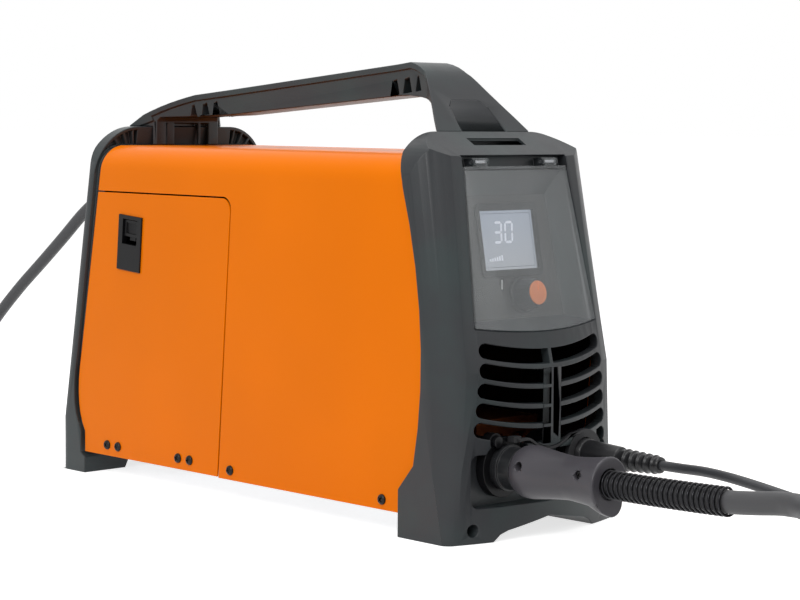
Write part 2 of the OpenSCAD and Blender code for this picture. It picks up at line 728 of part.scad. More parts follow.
module case_screws() {
    color(black) for (p = case_screw_spots) {
        screw_x([-case_half - 0.02, p[0], p[1]], 4, 8);
        mirror([1, 0, 0]) screw_x([-case_half - 0.02, p[0], p[1]], 4, 8);
    }
}

module bezel_screws() {
    color(black) for (s = [-1, 1]) {
        bar_y(s * foot_hole_x, foot_hole_z, foot_back - 26, foot_back - 22, 4.2);
        bar_y(s * foot_hole_x, foot_hole_z, rear_y - 24, rear_y - 20, 4.2);
    }
}

// ---- Side door with hinges and latch ----

axis_x = -case_half + 4.2;
axis_z = 21;
hinge_y = [173.7, 77.2];
hinge_w = 30;
knuckle_d = 4.6;
leaf_z = 27.4;
latch_y = 149;
latch_z = 201.5;
latch_tilt = 4.4;

module latch_frame() {
    translate([-case_half, latch_y, latch_z]) rotate([latch_tilt, 0, 0]) children();
}

module side_door() {
    color(orange) difference() {
        from_side(-door_half, sheet_t - door_half) intersection() {
            polygon(case_side);
            door_region(0);
            translate([0, door_z]) square([rear_y, door_top - door_z]);
        }
        latch_frame() block([-1, -latch_w / 2 + 3, -latch_l / 2 + 3], [8, latch_w / 2 - 3, latch_l / 2 - 3]);
        for (y = hinge_y, s = [-1, 1]) bar_x(y + 7.5 * s, leaf_z, -half_w, 0, 2.1);
    }
}

module door_screws() {
    color(black) for (y = hinge_y, s = [-1, 1])
        screw_x([-case_half - 0.02, y + 7.5 * s, leaf_z], 4, sheet_t + 2.4);
}

// Knuckles: the door carries the middle third, the tray the outer thirds
module knuckle(y0, y1) {
    difference() {
        bar_y(axis_x, axis_z, y0, y1, knuckle_d / 2);
        bar_y(axis_x, axis_z, y0 - 1, y1 + 1, hinge_pin_d / 2 + pin_clear);
    }
}

module door_leaves() {
    color(steel) for (y = hinge_y) {
        knuckle(y - hinge_w / 6 + 0.2, y + hinge_w / 6 - 0.2);
        difference() {
            union() {
                block([-case_half + sheet_t + 0.02, y - hinge_w / 2, axis_z + 2.9],
                    [-case_half + sheet_t + 1.6, y + hinge_w / 2, 33]);
                block([-case_half + sheet_t + 0.02, y - hinge_w / 6 + 0.2, axis_z],
                    [-case_half + sheet_t + 1.6, y + hinge_w / 6 - 0.2, 26]);
            }
            bar_y(axis_x, axis_z, y - 20, y + 20, hinge_pin_d / 2 + pin_clear + 0.4);
            for (s = [-1, 1]) bar_x(y + 7.5 * s, leaf_z, -half_w, 0, 2.1);
        }
    }
}

module hinge_leaves() {
    color(steel) for (y = hinge_y, s = [-1, 1]) difference() {
        union() {
            knuckle(y + s * hinge_w / 3 - hinge_w / 6 + 0.2, y + s * hinge_w / 3 + hinge_w / 6 - 0.2);
            block([axis_x, y + s * hinge_w / 3 - hinge_w / 6 + 0.2, axis_z - knuckle_d / 2],
                [-tray_left - 0.02, y + s * hinge_w / 3 + hinge_w / 6 - 0.2, axis_z - knuckle_d / 2 + 1.6]);
        }
        bar_y(axis_x, axis_z, y - 20, y + 20, hinge_pin_d / 2 + pin_clear);
    }
}

module hinge_pins() {
    color(steel) for (y = hinge_y) bar_y(axis_x, axis_z, y - hinge_w / 2, y + hinge_w / 2, hinge_pin_d / 2);
}

latch_in_w = 19.5;
latch_in_h = 19;
latch_travel = 6;
module latch_housing() {
    color(black) latch_frame() difference() {
        union() {
            block([-1.6, -latch_w / 2, -latch_l / 2], [-0.02, latch_w / 2, latch_l / 2]);
            block([-0.5, -latch_w / 2 + 3.3, -latch_l / 2 + 3.3],
                [3.6, latch_w / 2 - 3.3, latch_l / 2 - 3.3]);
        }
        block([-2, -latch_in_w / 2, -1], [5, latch_in_w / 2, latch_in_h - 1 + 2]);
        block([2, -latch_in_w / 2, -9], [5, latch_in_w / 2, latch_l / 2 - 1]);
    }
}

module latch_slide() {
    color(dark) latch_frame() {
        difference() {
            block([0.2, -latch_in_w / 2 + 0.4, -1 + latch_travel + 0.4],
                [2.6, latch_in_w / 2 - 0.4, latch_in_h + 0.4]);
            block([-1, -latch_in_w / 2 + 3, 8], [1.6, latch_in_w / 2 - 3, 17]);
        }
        block([2.2, -latch_in_w / 2 + 0.4, -1 + latch_travel + 0.4], [3.4, latch_in_w / 2 - 0.4, latch_l / 2 - 4]);
        block([3.8, -4, 2], [5, 4, door_top - latch_z - 0.6]);
        block([2.2, -4, 2], [5, 4, 8]);
    }
}

// ---- Control panel ----

display_t = 97.3;
knob_x = 7;
knob_t = 55;
module control_panel() {
    color(plastic) lean() difference() {
        from_front(panel_depth, panel_depth + 3) panel_outline(2.4);
        translate([0, 0, display_t]) block([-screen_w / 2, 0, -screen_h / 2],
            [screen_w / 2, 40, screen_h / 2]);
        bar_y(knob_x, knob_t, 0, 40, 3.6);
    }
}

module display_frame() {
    color(dark) lean() translate([0, 0, display_t]) difference() {
        from_front(panel_depth - 2, panel_depth - 0.02) soft_rect(screen_w + 8, screen_h + 11, 4);
        from_front(panel_depth - 3, panel_depth + 1) square([screen_w, screen_h], center = true);
    }
}

module display_screen() {
    color([0.66, 0.69, 0.75]) lean() translate([0, 0, display_t])
        block([-screen_w / 2 + 0.1, panel_depth + 0.6, -screen_h / 2 + 0.1],
            [screen_w / 2 - 0.1, panel_depth + 7, screen_h / 2 - 0.1]);
}

module control_board() {
    color(board) lean() difference() {
        union() {
            block([-42, panel_depth + 7, 42], [42, panel_depth + 8.6, 126]);
            // chips, connector and spacers on the back and front of the board
            for (x = [-30, 0, 24], t = [52, 100]) block([x, panel_depth + 8.6, t], [x + 14, panel_depth + 11, t + 14]);
            for (x = [-38, 38], t = [46, 122]) translate([x, panel_depth + 7, t]) rotate([90, 0, 0])
                cylinder(r = 3, h = 3.9);
        }
        bar_y(knob_x, knob_t, 0, 60, 5.2);
    }
}

module control_encoder() {
    color(steel) lean() translate([knob_x, 0, knob_t]) difference() {
        union() {
            bar_y(0, 0, panel_depth + 3.2, panel_depth + 10, 5);
            bar_y(0, 0, panel_depth - 9, panel_depth + 4, 3);
        }
    }
}

module control_knob() {
    color(dark) lean() translate([knob_x, panel_depth - 0.3, knob_t]) rotate([90, 0, 0]) difference() {
        union() {
            cylinder(r = knob_d / 2, h = 3.2);
            translate([0, 0, 3]) cylinder(r1 = knob_d / 2 - 1.2, r2 = knob_d / 2 - 3.6, h = knob_h - 3);
        }
        translate([0, 0, knob_h - 1.6]) cylinder(r = cap_r + 0.1, h = 3);
        translate([0, 0, -1]) cylinder(r = 3 + pin_clear, h = 11);
        for (a = [0:20:340]) rotate(a) translate([knob_d / 2 + 1.2, 0, 4]) rotate([0, -8, 0])
            cylinder(r = 2, h = knob_h + 3, $fn = 16);
    }
}
cap_r = 9;

module knob_cap() {
    color(orange) lean() translate([knob_x, panel_depth - 0.3, knob_t]) rotate([90, 0, 0])
        translate([0, 0, knob_h - 1.6]) difference() {
            cylinder(r = cap_r, h = 2.4);
            translate([-0.7, 2, 1.8]) cube([1.4, 8, 1]);
        }
}

// ---- Lens ----

function lens_arc(shrink, push) = [for (i = [-7:7]) let (x = (lens_half_low - shrink) * i / 7)
    [x, -bulge + x * x / (2 * bulge_r) + push]];
module lens_solid(shrink, push, deep) {
    hull() {
        translate([0, 0, lens_high - 1 - shrink]) linear_extrude(1)
            polygon([[shrink - lens_half_top, push - 1], [lens_half_top - shrink, push - 1],
                [lens_half_top - shrink, deep], [shrink - lens_half_top, deep]]);
        translate([0, 0, lens_low - lens_drop - 1]) linear_extrude(1)
            polygon(concat(lens_arc(shrink, push),
                [[lens_half_low - shrink, deep], [shrink - lens_half_low, deep]]));
    }
}

module lens_cover() {
    color(clear) lean() difference() {
        union() {
            intersection() {
                difference() {
                    lens_solid(0, 0, 1.6);
                    lens_solid(lens_t, lens_t, 6);
                }
                from_front(-over, 20) lens_outline(0);
            }
            for (s = [-1, 1]) difference() {
                from_side(s * knuckle_x - knuckle_w / 2, s * knuckle_x + knuckle_w / 2) {
                    translate([lens_axis_n, lens_axis_t]) circle(knuckle_r);
                    translate([lens_axis_n - knuckle_r, lens_high - 2.5]) square([4.6, 6]);
                }
            }
        }
        for (s = [-1, 1]) bar_x(lens_axis_n, lens_axis_t, s * knuckle_x - 20, s * knuckle_x + 20,
            lens_pin_r + pin_clear);
    }
}

module lens_pins() {
    color(steel) lean() for (s = [-1, 1]) bar_x(lens_axis_n, lens_axis_t,
        s * knuckle_x - knuckle_w / 2 - ear_w, s * knuckle_x + knuckle_w / 2 + ear_w, lens_pin_r);
}

// ---- Torch socket, plug and work socket ----

ring_r = 22.5;
plug_y0 = pocket_y - 3.7;
plug_y1 = corner_y - 95;
module torch_socket() {
    color(black) difference() {
        union() {
            bar_y(torch_x, torch_z, pocket_y - 8, pocket_y - 0.02, ring_r);
            bar_y(torch_x, torch_z, pocket_y - 0.5, foot_back - 6, socket_r);
            // guide of the release button
            bar_y(torch_x + latch_at[0], torch_z + latch_at[1], pocket_y - 8.4, pocket_y - 0.02, 6.6);
        }
        bar_y(torch_x, torch_z, pocket_y - 9, pocket_y + 26, neck_d / 2 + 0.4);
        bar_y(torch_x + latch_at[0], torch_z + latch_at[1], pocket_y - 9, pocket_y - 1.5, 4.5 + pin_clear);
    }
    // contact insert at the bottom of the socket
    color(brass) for (a = [0:60:300]) bar_y(torch_x + 9 * cos(a), torch_z + 9 * sin(a),
        pocket_y + 18, pocket_y + 27, 1.6);
}

latch_at = [-10, 19.6];
module socket_latch() {
    color(dark) translate([torch_x + latch_at[0], pocket_y - 5, torch_z + latch_at[1]]) rotate([90, 0, 0]) {
        cylinder(r = 4.5, h = 6.4);
        translate([0, 0, 6.4]) intersection() {
            cylinder(r = 4.5, h = 3);
            translate([0, 0, -7]) sphere(r = 8.6);
        }
    }
}

// Wavy rubber strap that ties the two socket caps together
strap_points = [[-35, 74.8], [-24, 75], [-14, 69.5], [-4, 66.5], [8, 67.5], [18, 71.5], [25, 74], [33, 74.5]];
strap_y = front_y + 4;
cap_ring_r = 19;
function strap_outline(grow) = let (top = smooth(strap_points, 4))
    concat([for (p = top) p + [0, grow]], flip([for (p = top) p - [0, 2.2 + grow]]));
module socket_strap() {
    color(black) {
        from_front(front_y + 0.1, strap_y) polygon(strap_outline(0));
        difference() {
            bar_y(work_x, work_z, strap_y - 2.5, strap_y + 2, cap_ring_r);
            bar_y(work_x, work_z, strap_y - 4, strap_y + 3, 12.5);
        }
        block([-39, strap_y - 2, 72.2], [-31, pocket_y - 8.05, 76.8]);
    }
}

module work_socket() {
    color(black) difference() {
        union() {
            bar_y(work_x, work_z, pocket_y - 7.5, pocket_y - 0.02, 16.5);
            bar_y(work_x, work_z, pocket_y - 1, foot_back - 14, work_socket_r);
        }
        bar_y(work_x, work_z, pocket_y - 9, pocket_y + 20, 5.3);
        translate([work_x, pocket_y - 7.6, work_z]) rotate([90, 0, 0]) translate([0, 0, -4])
            difference() {
                cylinder(r = 13, h = 5);
                cylinder(r = 9, h = 5);
            }
    }
}

module torch_plug_collar() {
    color(dark) difference() {
        union() {
            bar_y(torch_x, torch_z, pocket_y - 26, pocket_y + 17, neck_d / 2);
            bar_y(torch_x, torch_z, pocket_y - 15, pocket_y - 11.6, neck_d / 2 + 1.6);
        }
        bar_y(torch_x, torch_z, pocket_y - 10, pocket_y + 30, neck_d / 2 - 3);
    }
}

// Waisted body turned about the plug axis, with a flared lower lip at the lead end
plug_len = 82;
plug_start = pocket_y - 26;
torch_exit_y = plug_start - plug_len + 3;
plug_profile = concat([[0, 0], [13, 0]],
    bow([plug_d / 2 - 3, 1], [plug_d / 2 + 0.5, 5], [plug_d / 2, 14]),
    bow([plug_d / 2, 14], [plug_d / 2 - 4, 44], [plug_d / 2 - 3.6, 50]),
    bow([plug_d / 2 - 3.6, 50], [plug_d / 2 - 2.8, 66], [plug_d / 2, plug_len]),
    [[plug_d / 2, plug_len], [plug_d / 2 - 1, plug_len + 1], [0, plug_len + 1]]);
module torch_plug_body() {
    color(plastic) difference() {
        union() {
            translate([torch_x, plug_start, torch_z]) rotate([90, 0, 0])
                rotate_extrude() polygon(plug_profile);
            hull() {
                bar_y(torch_x, torch_z - 7.5, plug_start - plug_len - 1, plug_start - plug_len + 3, 14.5, $fn = 32);
                bar_y(torch_x + 4, torch_z - 14, plug_start - plug_len - 1, plug_start - plug_len + 3, 10, $fn = 32);
                bar_y(torch_x, torch_z, plug_start - plug_len + 30, plug_start - plug_len + 34, 10, $fn = 32);
            }
        }
        bar_y(torch_x, torch_z, plug_start - plug_len - 2, plug_start - plug_len + 3, 11.2);
        for (p = plug_screw_spots) translate([torch_x, plug_start - p, torch_z])
            rotate([0, 90, 0]) translate([-6, 0, -30]) rotate([0, 0, 37]) cylinder(r = 3.1, h = 17.5);
    }
}
plug_screw_spots = [12, 66];

module torch_plug_screws() {
    color(black) for (p = plug_screw_spots) translate([torch_x, plug_start - p, torch_z])
        rotate([0, 90, 0]) translate([-6, 0, -14.4]) cylinder(r = 2.9, h = 1.8);
}

spring_y0 = plug_start - plug_len + 2.6;
spring_y1 = spring_y0 - 110;
spring_r = torch_d / 2 + 0.45 + spring_wire / 2;
function spring_point(u) = let (a = 360 * u,
    y = spring_y0 - spring_wire + (spring_y1 - spring_y0 + 2 * spring_wire) * u / spring_turns)
    [torch_x + spring_r * cos(a), y, lead_z(y) + spring_r * sin(a)];
spring_rings = 8;
spring_body = [for (i = [0:spring_turns * spring_rings]) spring_point(i / spring_rings)];
spring_path = concat([spring_body[0] + [0, spring_wire, 0]], spring_body,
    [spring_body[len(spring_body) - 1] - [0, spring_wire, 0]]);
module torch_spring() {
    color(black) wire(spring_path, spring_wire / 2);
}

// Tube whose rings keep one side turned away from the plug axis
module wire(points, r, sides = 6) {
    n = len(points);
    rings = [for (i = [0:n - 1]) let (
        t = tangent(points, i),
        out = unit([points[i][0] - torch_x, 0, points[i][2] - lead_z(points[i][1])]),
        b = unit(cross(t, out)), a = cross(b, t))
        each [for (k = [0:sides - 1]) points[i] + r * (cos(360 * k / sides) * a + sin(360 * k / sides) * b)]];
    skin(rings, sides);
}

module work_plug() {
    y = pocket_y - 7.6;
    color(black) difference() {
        union() {
            bar_y(work_x, work_z, y - 12, y - 0.02, 12);
            bar_y(work_x, work_z, y - 1, y + 24, 4.8);
            translate([work_x, y - 12, work_z]) rotate([90, 0, 0]) cylinder(r1 = 11.2, r2 = 9, h = 32);
            translate([work_x, y - 44, work_z]) rotate([90, 0, 0]) cylinder(r1 = 7.8, r2 = 6.2, h = 38);
            for (i = [0:4]) bar_y(work_x, work_z, y - 50.5 - 6.5 * i, y - 47 - 6.5 * i, 8.8 - 0.35 * i);
        }
        bar_y(work_x, work_z, y - 83, y - 80, work_d / 2 + 0.05);
    }
}
work_exit_y = pocket_y - 7.6 - 80;

// ---- Torch lead, coil and hand torch ----

torch_coil_spec = [[-4, -612], 100, 200, 2.5035, 4, torch_d, 1, 0];
// Height of the lead's axis inside the spring: level at the plug, then slowly rising
function lead_z(y) = torch_z + 1.6 * pow(max(0, torch_exit_y - 20 - y) / 90, 2);
torch_route = concat([for (y = [torch_exit_y, -353, -375, -397, -419, -442]) [torch_x, y, lead_z(y)]],
    [[-41, -461, 57.3], [-40.5, -480, 59.6], [-42, -491, 60.4], [-46, -502, 61], [-60, -522, 61.5],
     [-72.5, -534.5, 61], [-84.9, -547, 60.3], [-97.6, -563.6, 59.3], [-105.6, -582.9, 58.7],
     [-108.3, -603.6, 58.5], [-107.1, -617.5, 58.5], [-104.9, -627.1, 58.5], [-103.44, -631.17, 58.5]]);
module torch_lead() {
    color(cable) tube(torch_route, torch_d / 2, 10);
}

// From the floor the lead goes on round the coil, climbs its side and turns in over the top
torch_rise = 67.2;
climb_r = torch_coil_spec[1] + torch_d + 1.2;
climb_turn = 195;
climb_end = torch_coil_spec[2] + 360 * torch_coil_spec[3] * torch_coil_spec[4] + climb_turn;
function climb_at(a) = let (c = torch_coil_spec, first = c[1] + c[5] / 2 + coil_gap * 0.75,
    r = first + (climb_r - first) * ease(min(1, a / 55)), turn = climb_end - climb_turn + a)
    [c[0][0] + r * cos(turn), c[0][1] + r * sin(turn),
     c[5] / 2 + coil_floor + torch_rise * ease(max(0, a - 50) / (climb_turn - 50))];
over_r = 80;
over_mid = torch_coil_spec[0] + (climb_r - over_r) * [cos(climb_end), sin(climb_end)];
over_turn = 180 - (climb_end - 360 * floor(climb_end / 360));
torch_end = over_mid - [over_r, 2];
torch_coil_path = concat([for (q = coil_path(torch_coil_spec, 180)) q],
    [for (i = [1:11]) climb_at(climb_turn * i / 11)],
    [for (i = [1:9]) let (a = climb_end + over_turn * i / 9)
        [over_mid[0] + over_r * cos(a), over_mid[1] + over_r * sin(a), climb_at(climb_turn)[2]]],
    [[torch_end[0], torch_end[1], climb_at(climb_turn)[2]]]);
// The hand torch lies on the coil, its head turned in over it
module at_torch() {
    translate([torch_end[0], torch_end[1], torch_rise]) rotate([0, 0, -90]) mirror([0, 1, 0]) children();
}
module torch_coil() {
    color(cable) tube(torch_coil_path, torch_d / 2, 6);
}

grip_z = 17.5;
trigger_pin = [92, 15];
safety_pin = [133, 21.5];
module torch_handle() {
    color(black) at_torch() difference() {
        union() {
            hull() {
                translate([0.05, 0, 9]) rotate([0, 90, 0]) cylinder(r = 9, h = 6, $fn = 32);
                translate([34, 0, 14]) rotate([0, 90, 0]) cylinder(r = 12, h = 2, $fn = 32);
            }
            hull() {
                translate([34, 0, 14]) rotate([0, 90, 0]) cylinder(r = 13.5, h = 2, $fn = 32);
                translate([62, 0, grip_z]) sphere(r = 17, $fn = 20);
                translate([128, 1, grip_z]) sphere(r = 17, $fn = 20);
            }
            hull() {
                translate([128, 1, grip_z]) sphere(r = 16.8, $fn = 20);
                translate([164, -4, grip_z]) sphere(r = 13.5, $fn = 20);
            }
        }
        // pocket of the trigger
        difference() {
            block([trigger_pin[0] - 6, 5, grip_z - 6.5], [141, 30, grip_z + 6.5]);
            bar_z(trigger_pin[0], trigger_pin[1] - 3, grip_z - 7, grip_z + 7, 1.5);
        }
        rotate_at([164, -4, grip_z], 75) bar_x(0, 0, -9, 40, 10.2);
    }
}
// Turns its children about an upright line through p, their X axis towards -Y by the angle
module rotate_at(p, angle) {
    translate(p) rotate([0, 0, -angle]) children();
}

module torch_head() {
    color(black) at_torch() rotate_at([164, -4, grip_z], 75) {
        bar_x(0, 0, -8.8, 30, 10);
        bar_x(0, 0, 14, 27, 11.2);
    }
}

module torch_cup() {
    color(copper) at_torch() rotate_at([164, -4, grip_z], 75) difference() {
        union() {
            translate([30.05, 0, 0]) rotate([0, 90, 0]) cylinder(r = 11.6, h = 12);
            translate([42, 0, 0]) rotate([0, 90, 0]) cylinder(r1 = 11.6, r2 = 8, h = 14);
            translate([55, 0, 0]) rotate([0, 90, 0]) cylinder(r1 = 5, r2 = 3.6, h = 5);
        }
        bar_x(0, 0, 57, 61, 0.9);
    }
}

module torch_trigger() {
    p = trigger_pin - [0, 3];
    color(orange) at_torch() difference() {
        linear_extrude_at(grip_z - 6, grip_z + 6) polygon([[p[0] - 4, p[1] - 3.5], [p[0] + 4, p[1] - 3.5],
            [122, 13], [139.5, 13.5], [139.5, 18.6], [127, 18.6], [104, 20.5], [p[0] - 2, 17.5], [p[0] - 4, 15]]);
        bar_z(p[0], p[1], 0, 40, 1.5 + pin_clear);
    }
    color(orange) at_torch() for (s = [-1, 1])
        translate([0, 0, grip_z + s * 5]) linear_extrude(1.9, center = true)
            polygon([[126, 17.5], [138, 17.5], [137, 23.5], [131, 24]]);
    color(steel) at_torch()
        bar_z(safety_pin[0], safety_pin[1], grip_z - 5.9, grip_z + 5.9, 1.1);
}
module linear_extrude_at(z0, z1) {
    translate([0, 0, z0]) linear_extrude(z1 - z0) children();
}

module torch_safety() {
    p = safety_pin;
    color(orange) at_torch() difference() {
        linear_extrude_at(grip_z - 3.7, grip_z + 3.7) {
            translate(p) circle(1.1 + 1.3);
            polygon([[p[0] - 1.5, p[1] + 0.6], [p[0] + 1.5, p[1] + 1.2], [p[0] - 6, 26], [106, 24.4],
                [105, 21.4], [112, 21.2], [126, 21.6]]);
        }
        bar_z(p[0], p[1], 0, 40, 1.1 + pin_clear);
    }
}

// ---- Work lead, coil and clamp ----

work_coil_spec = [[97, -470], 51, 270, 2.25, 4, work_d, 1, work_d];
work_top_z = coil_at(work_coil_spec, 0)[2];
work_route = [[work_x, work_exit_y, work_z], [work_x, -336, work_z], [36, -361, 57.5], [31, -387, 57],
    [29, -412, 54.5], [30, -437, 50.5], [33, -461, 46], [40, -485, 41], [52, -504, 36.5],
    [68, -517, 32], [80, -521, work_top_z], [97 - work_d, -521, work_top_z]];
module work_lead() {
    color(cable) tube(smooth(work_route, 2), work_d / 2, 8);
}

work_coil_path = coil_path(work_coil_spec, 176);
module work_coil() {
    color(cable) tube(work_coil_path, work_d / 2, 6);
}

work_out = coil_exit(work_coil_spec);
tail_z = work_out[2];
tail_route = [for (p = [[work_out[0], work_out[1]], [113, work_out[1]], [124, -531], [131, -546],
    [133, -566], [133, -600], [127.5, -640], [107, -690], [70, -724.5], [50, -735], [38, -741],
    [29, -744], [21, -744]]) [p[0], p[1], tail_z]];
module work_tail() {
    color(cable) tube(smooth(tail_route, 2), work_d / 2, 8);
}

// The clamp lies on its side: X runs along it from the cord, the pivot stands upright
clamp_w = 24;
clamp_pivot = [78, 14];
clamp_low = 1;
jaw_outer = concat(bow([6, -8], [30, -8], [60, 1], 6), bow([60, 1], [84, 8], [112, 2], 6),
    [[112, 2], [134, 7], [141, 13.7]]);
module at_clamp() {
    translate([21, -744, 0]) rotate([0, 0, 180]) translate([0, 7, clamp_low]) children();
}
module jaw(side, inset) {
    translate([0, clamp_pivot[1], 0]) mirror([0, side, 0]) translate([0, -clamp_pivot[1], 0]) {
        // bent spine
        linear_extrude_at(inset, clamp_w - inset) polygon(concat(jaw_outer,
            flip([for (p = jaw_outer) p[0] > 135 ? p - [4, 0] : p + [0, 1.9]])));
        // cheeks with the pivot eye
        for (z = [inset, clamp_w - inset - 1.8]) difference() {
            linear_extrude_at(z, z + 1.8) {
                translate(clamp_pivot) circle(6.5);
                polygon([[58, 1.2], [72, 4.6], [84, 5.5], [112, 3], [104, 9], [86, clamp_pivot[1]],
                    [70, clamp_pivot[1]]]);
            }
            bar_z(clamp_pivot[0], clamp_pivot[1], -1, clamp_w + 1, 3 + pin_clear);
        }
    }
}
module clamp_jaw_fixed() {
    color(steel) at_clamp() jaw(0, 0);
    // sleeve over the handle, where the cord goes in
    color(black) at_clamp() linear_extrude_at(-0.8, clamp_w + 0.8)
        polygon([[0.05, -12], [0.05, -2], [8, -3.6], [44, -1], [48, -6.5], [40, -10.5], [8, -12.5]]);
}
module clamp_jaw_moving() {
    color(steel) at_clamp() jaw(1, 2.1);
    color(black) at_clamp() linear_extrude_at(1.2, clamp_w - 1.2) translate([0, 2 * clamp_pivot[1]]) mirror([0, 1])
        polygon([[2, -12], [2, -2], [8, -3.6], [44, -1], [48, -6.5], [40, -10.5], [8, -12.5]]);
}
module clamp_pin() {
    color(steel) at_clamp() {
        bar_z(clamp_pivot[0], clamp_pivot[1], -0.6, clamp_w + 0.6, 3);
        for (z = [-0.9, clamp_w + 0.02]) bar_z(clamp_pivot[0], clamp_pivot[1], z, z + 0.88, 5);
    }
}

// ---- Rear panel fittings and mains lead ----

module mains_gland() {
    color(black) difference() {
        union() {
            bar_y(mains_x, mains_z, rear_face - sheet_t - 6, rear_face + 20, gland_r - 0.2);
            translate([mains_x, rear_face + 0.02, mains_z]) rotate([-90, 0, 0]) cylinder(r = 13, h = 7, $fn = 6);
            translate([mains_x, rear_face + 7, mains_z]) rotate([-90, 0, 0]) cylinder(r1 = 11.5, r2 = 10.5, h = 14);
            translate([mains_x, rear_face + 20, mains_z]) rotate([-90, 0, 0]) cylinder(r1 = 9, r2 = 7, h = 30);
        }
        bar_y(mains_x, mains_z, rear_face + 46, rear_face + 51, mains_d / 2 + 0.05);
    }
}

mains_coil_spec = [[-55, 539.4], 64, 30, 1.71875, 4, mains_d, 1, mains_d];
mains_top_z = coil_at(mains_coil_spec, 0)[2];
mains_exit_y = rear_face + 46;
mains_route = [[mains_x, mains_exit_y, mains_z], [mains_x, 256, 236], [mains_x, 283, 221.5],
    [mains_x, 316, 197], [mains_x, 349, 173], [mains_x, 384, 148], [mains_x, 418, 121],
    [-37.5, 443, 100.5], [-30.5, 470, 81.5], [-20, 496, 66], [-6.5, 519.5, 55], [4.5, 533.4, 50],
    [8, 544.4, 46], [9, 552.4, 41.3], [7.67, 558.84, mains_top_z + 0.1], [5.67, 562.3, mains_top_z]];
module mains_lead() {
    color(cable) tube(smooth(mains_route, 2), mains_d / 2, 8);
}

mains_coil_path = coil_path(mains_coil_spec, 140);
module mains_coil() {
    color(cable) tube(mains_coil_path, mains_d / 2, 6);
}

plug_axis_z = 19.2;
module mains_plug() {
    color(black) after_coil(mains_coil_spec) difference() {
        union() {
            hull() {
                translate([0.05, 0, 6.6]) rotate([0, 90, 0]) cylinder(r = 6.6, h = 4, $fn = 32);
                translate([24, 0, plug_axis_z - 3]) rotate([0, 90, 0]) cylinder(r = 10, h = 8, $fn = 32);
            }
            translate([26, 0, plug_axis_z]) rotate([0, 90, 0]) rotate_extrude() polygon(concat(
                [[0, 0], [10, 0]], bow([11, 2], [19, 6], [18.8, 16]), [[18.8, 16], [18.8, 36], [0, 36]]));
        }
        // side recesses of the earth contacts
        for (s = [-1, 1]) block([48, -4, plug_axis_z + s * 19 - 3], [63, 4, plug_axis_z + s * 19 + 3]);
    }
    color(steel) after_coil(mains_coil_spec) for (s = [-1, 1]) {
        bar_x(s * 9.5, plug_axis_z, 61, 79, 2.4);
        translate([79, s * 9.5, plug_axis_z]) rotate([0, 90, 0]) cylinder(r1 = 2.4, r2 = 1.4, h = 1.4);
    }
}

module switch_frame() {
    color(black) translate([switch_x, rear_face, switch_z]) difference() {
        union() {
            block([-16, 0.02, -13], [16, 2.2, 13]);
            block([-13.8, -14, -10.8], [13.8, 1, 10.8]);
        }
        block([-11.5, -9, -8.5], [11.5, 3, 8.5]);
    }
}

module power_switch() {
    color([0.75, 0.1, 0.08]) translate([switch_x, rear_face - 2, switch_z]) intersection() {
        rotate([0, 0, 8]) difference() {
            rotate([90, 0, 0]) translate([0, 0, -5.6]) linear_extrude(10.6) square([21, 16.4], center = true);
            translate([0, 13, 0]) cylinder(r = 9.4, h = 30, center = true);
        }
        cylinder(r = 11.1, h = 16.4, center = true);
    }
}

module air_inlet() {
    color(brass) difference() {
        union() {
            bar_y(air_x, air_z, rear_face - 14, rear_face + 16, 6.5);
            translate([air_x, rear_face + 0.02, air_z]) rotate([-90, 0, 0]) cylinder(r = 10, h = 6, $fn = 6);
            bar_y(air_x, air_z, rear_face + 15, rear_face + 22, 5);
            translate([air_x, rear_face + 22, air_z]) rotate([-90, 0, 0]) cylinder(r1 = 5, r2 = 6, h = 3);
            bar_y(air_x, air_z, rear_face + 25, rear_face + 31, 6);
        }
        bar_y(air_x, air_z, rear_face - 15, rear_face + 32, 2.8);
    }
}

fan_depth = 25;
fan_y1 = rear_face - sheet_t - 0.02;
module fan_frame() {
    color(black) difference() {
        translate([fan_x, 0, fan_z]) from_front(fan_y1 - fan_depth, fan_y1) soft_rect(fan_size, fan_size, 4);
        difference() {
            bar_y(fan_x, fan_z, fan_y1 - fan_depth - 1, fan_y1 + 1, fan_size / 2 - 2.5);
            bar_y(fan_x, fan_z, fan_y1 - fan_depth, fan_y1 - fan_depth + 7, 17);
            for (a = [20:90:290]) translate([fan_x, 0, fan_z]) rotate([0, a, 0])
                block([-2.5, fan_y1 - fan_depth, 12], [2.5, fan_y1 - fan_depth + 4, fan_size / 2]);
        }
        bar_y(fan_x, fan_z, fan_y1 - fan_depth - 1, fan_y1 + 1, fan_shaft_r + pin_clear);
        for (sx = [-1, 1], sz = [-1, 1]) bar_y(fan_x + sx * (fan_size / 2 - 5), fan_z + sz * (fan_size / 2 - 5),
            fan_y1 - fan_depth - 1, fan_y1 + 1, 2.2);
    }
}
fan_shaft_r = 1.5;

module fan_rotor() {
    y0 = fan_y1 - fan_depth + 8;
    color(dark) {
        bar_y(fan_x, fan_z, y0, fan_y1 - 3, 16.5);
        bar_y(fan_x, fan_z, fan_y1 - fan_depth + 1, y0 + 1, fan_shaft_r);
        for (a = [0:51.4286:308.6]) translate([fan_x, 0, fan_z]) rotate([0, a, 0])
            translate([0, y0 + 7, 14]) rotate([0, 0, 34]) block([-1, -8, 0], [1, 8, fan_size / 2 - 19]);
    }
}

// ---- Power electronics and gas parts inside ----

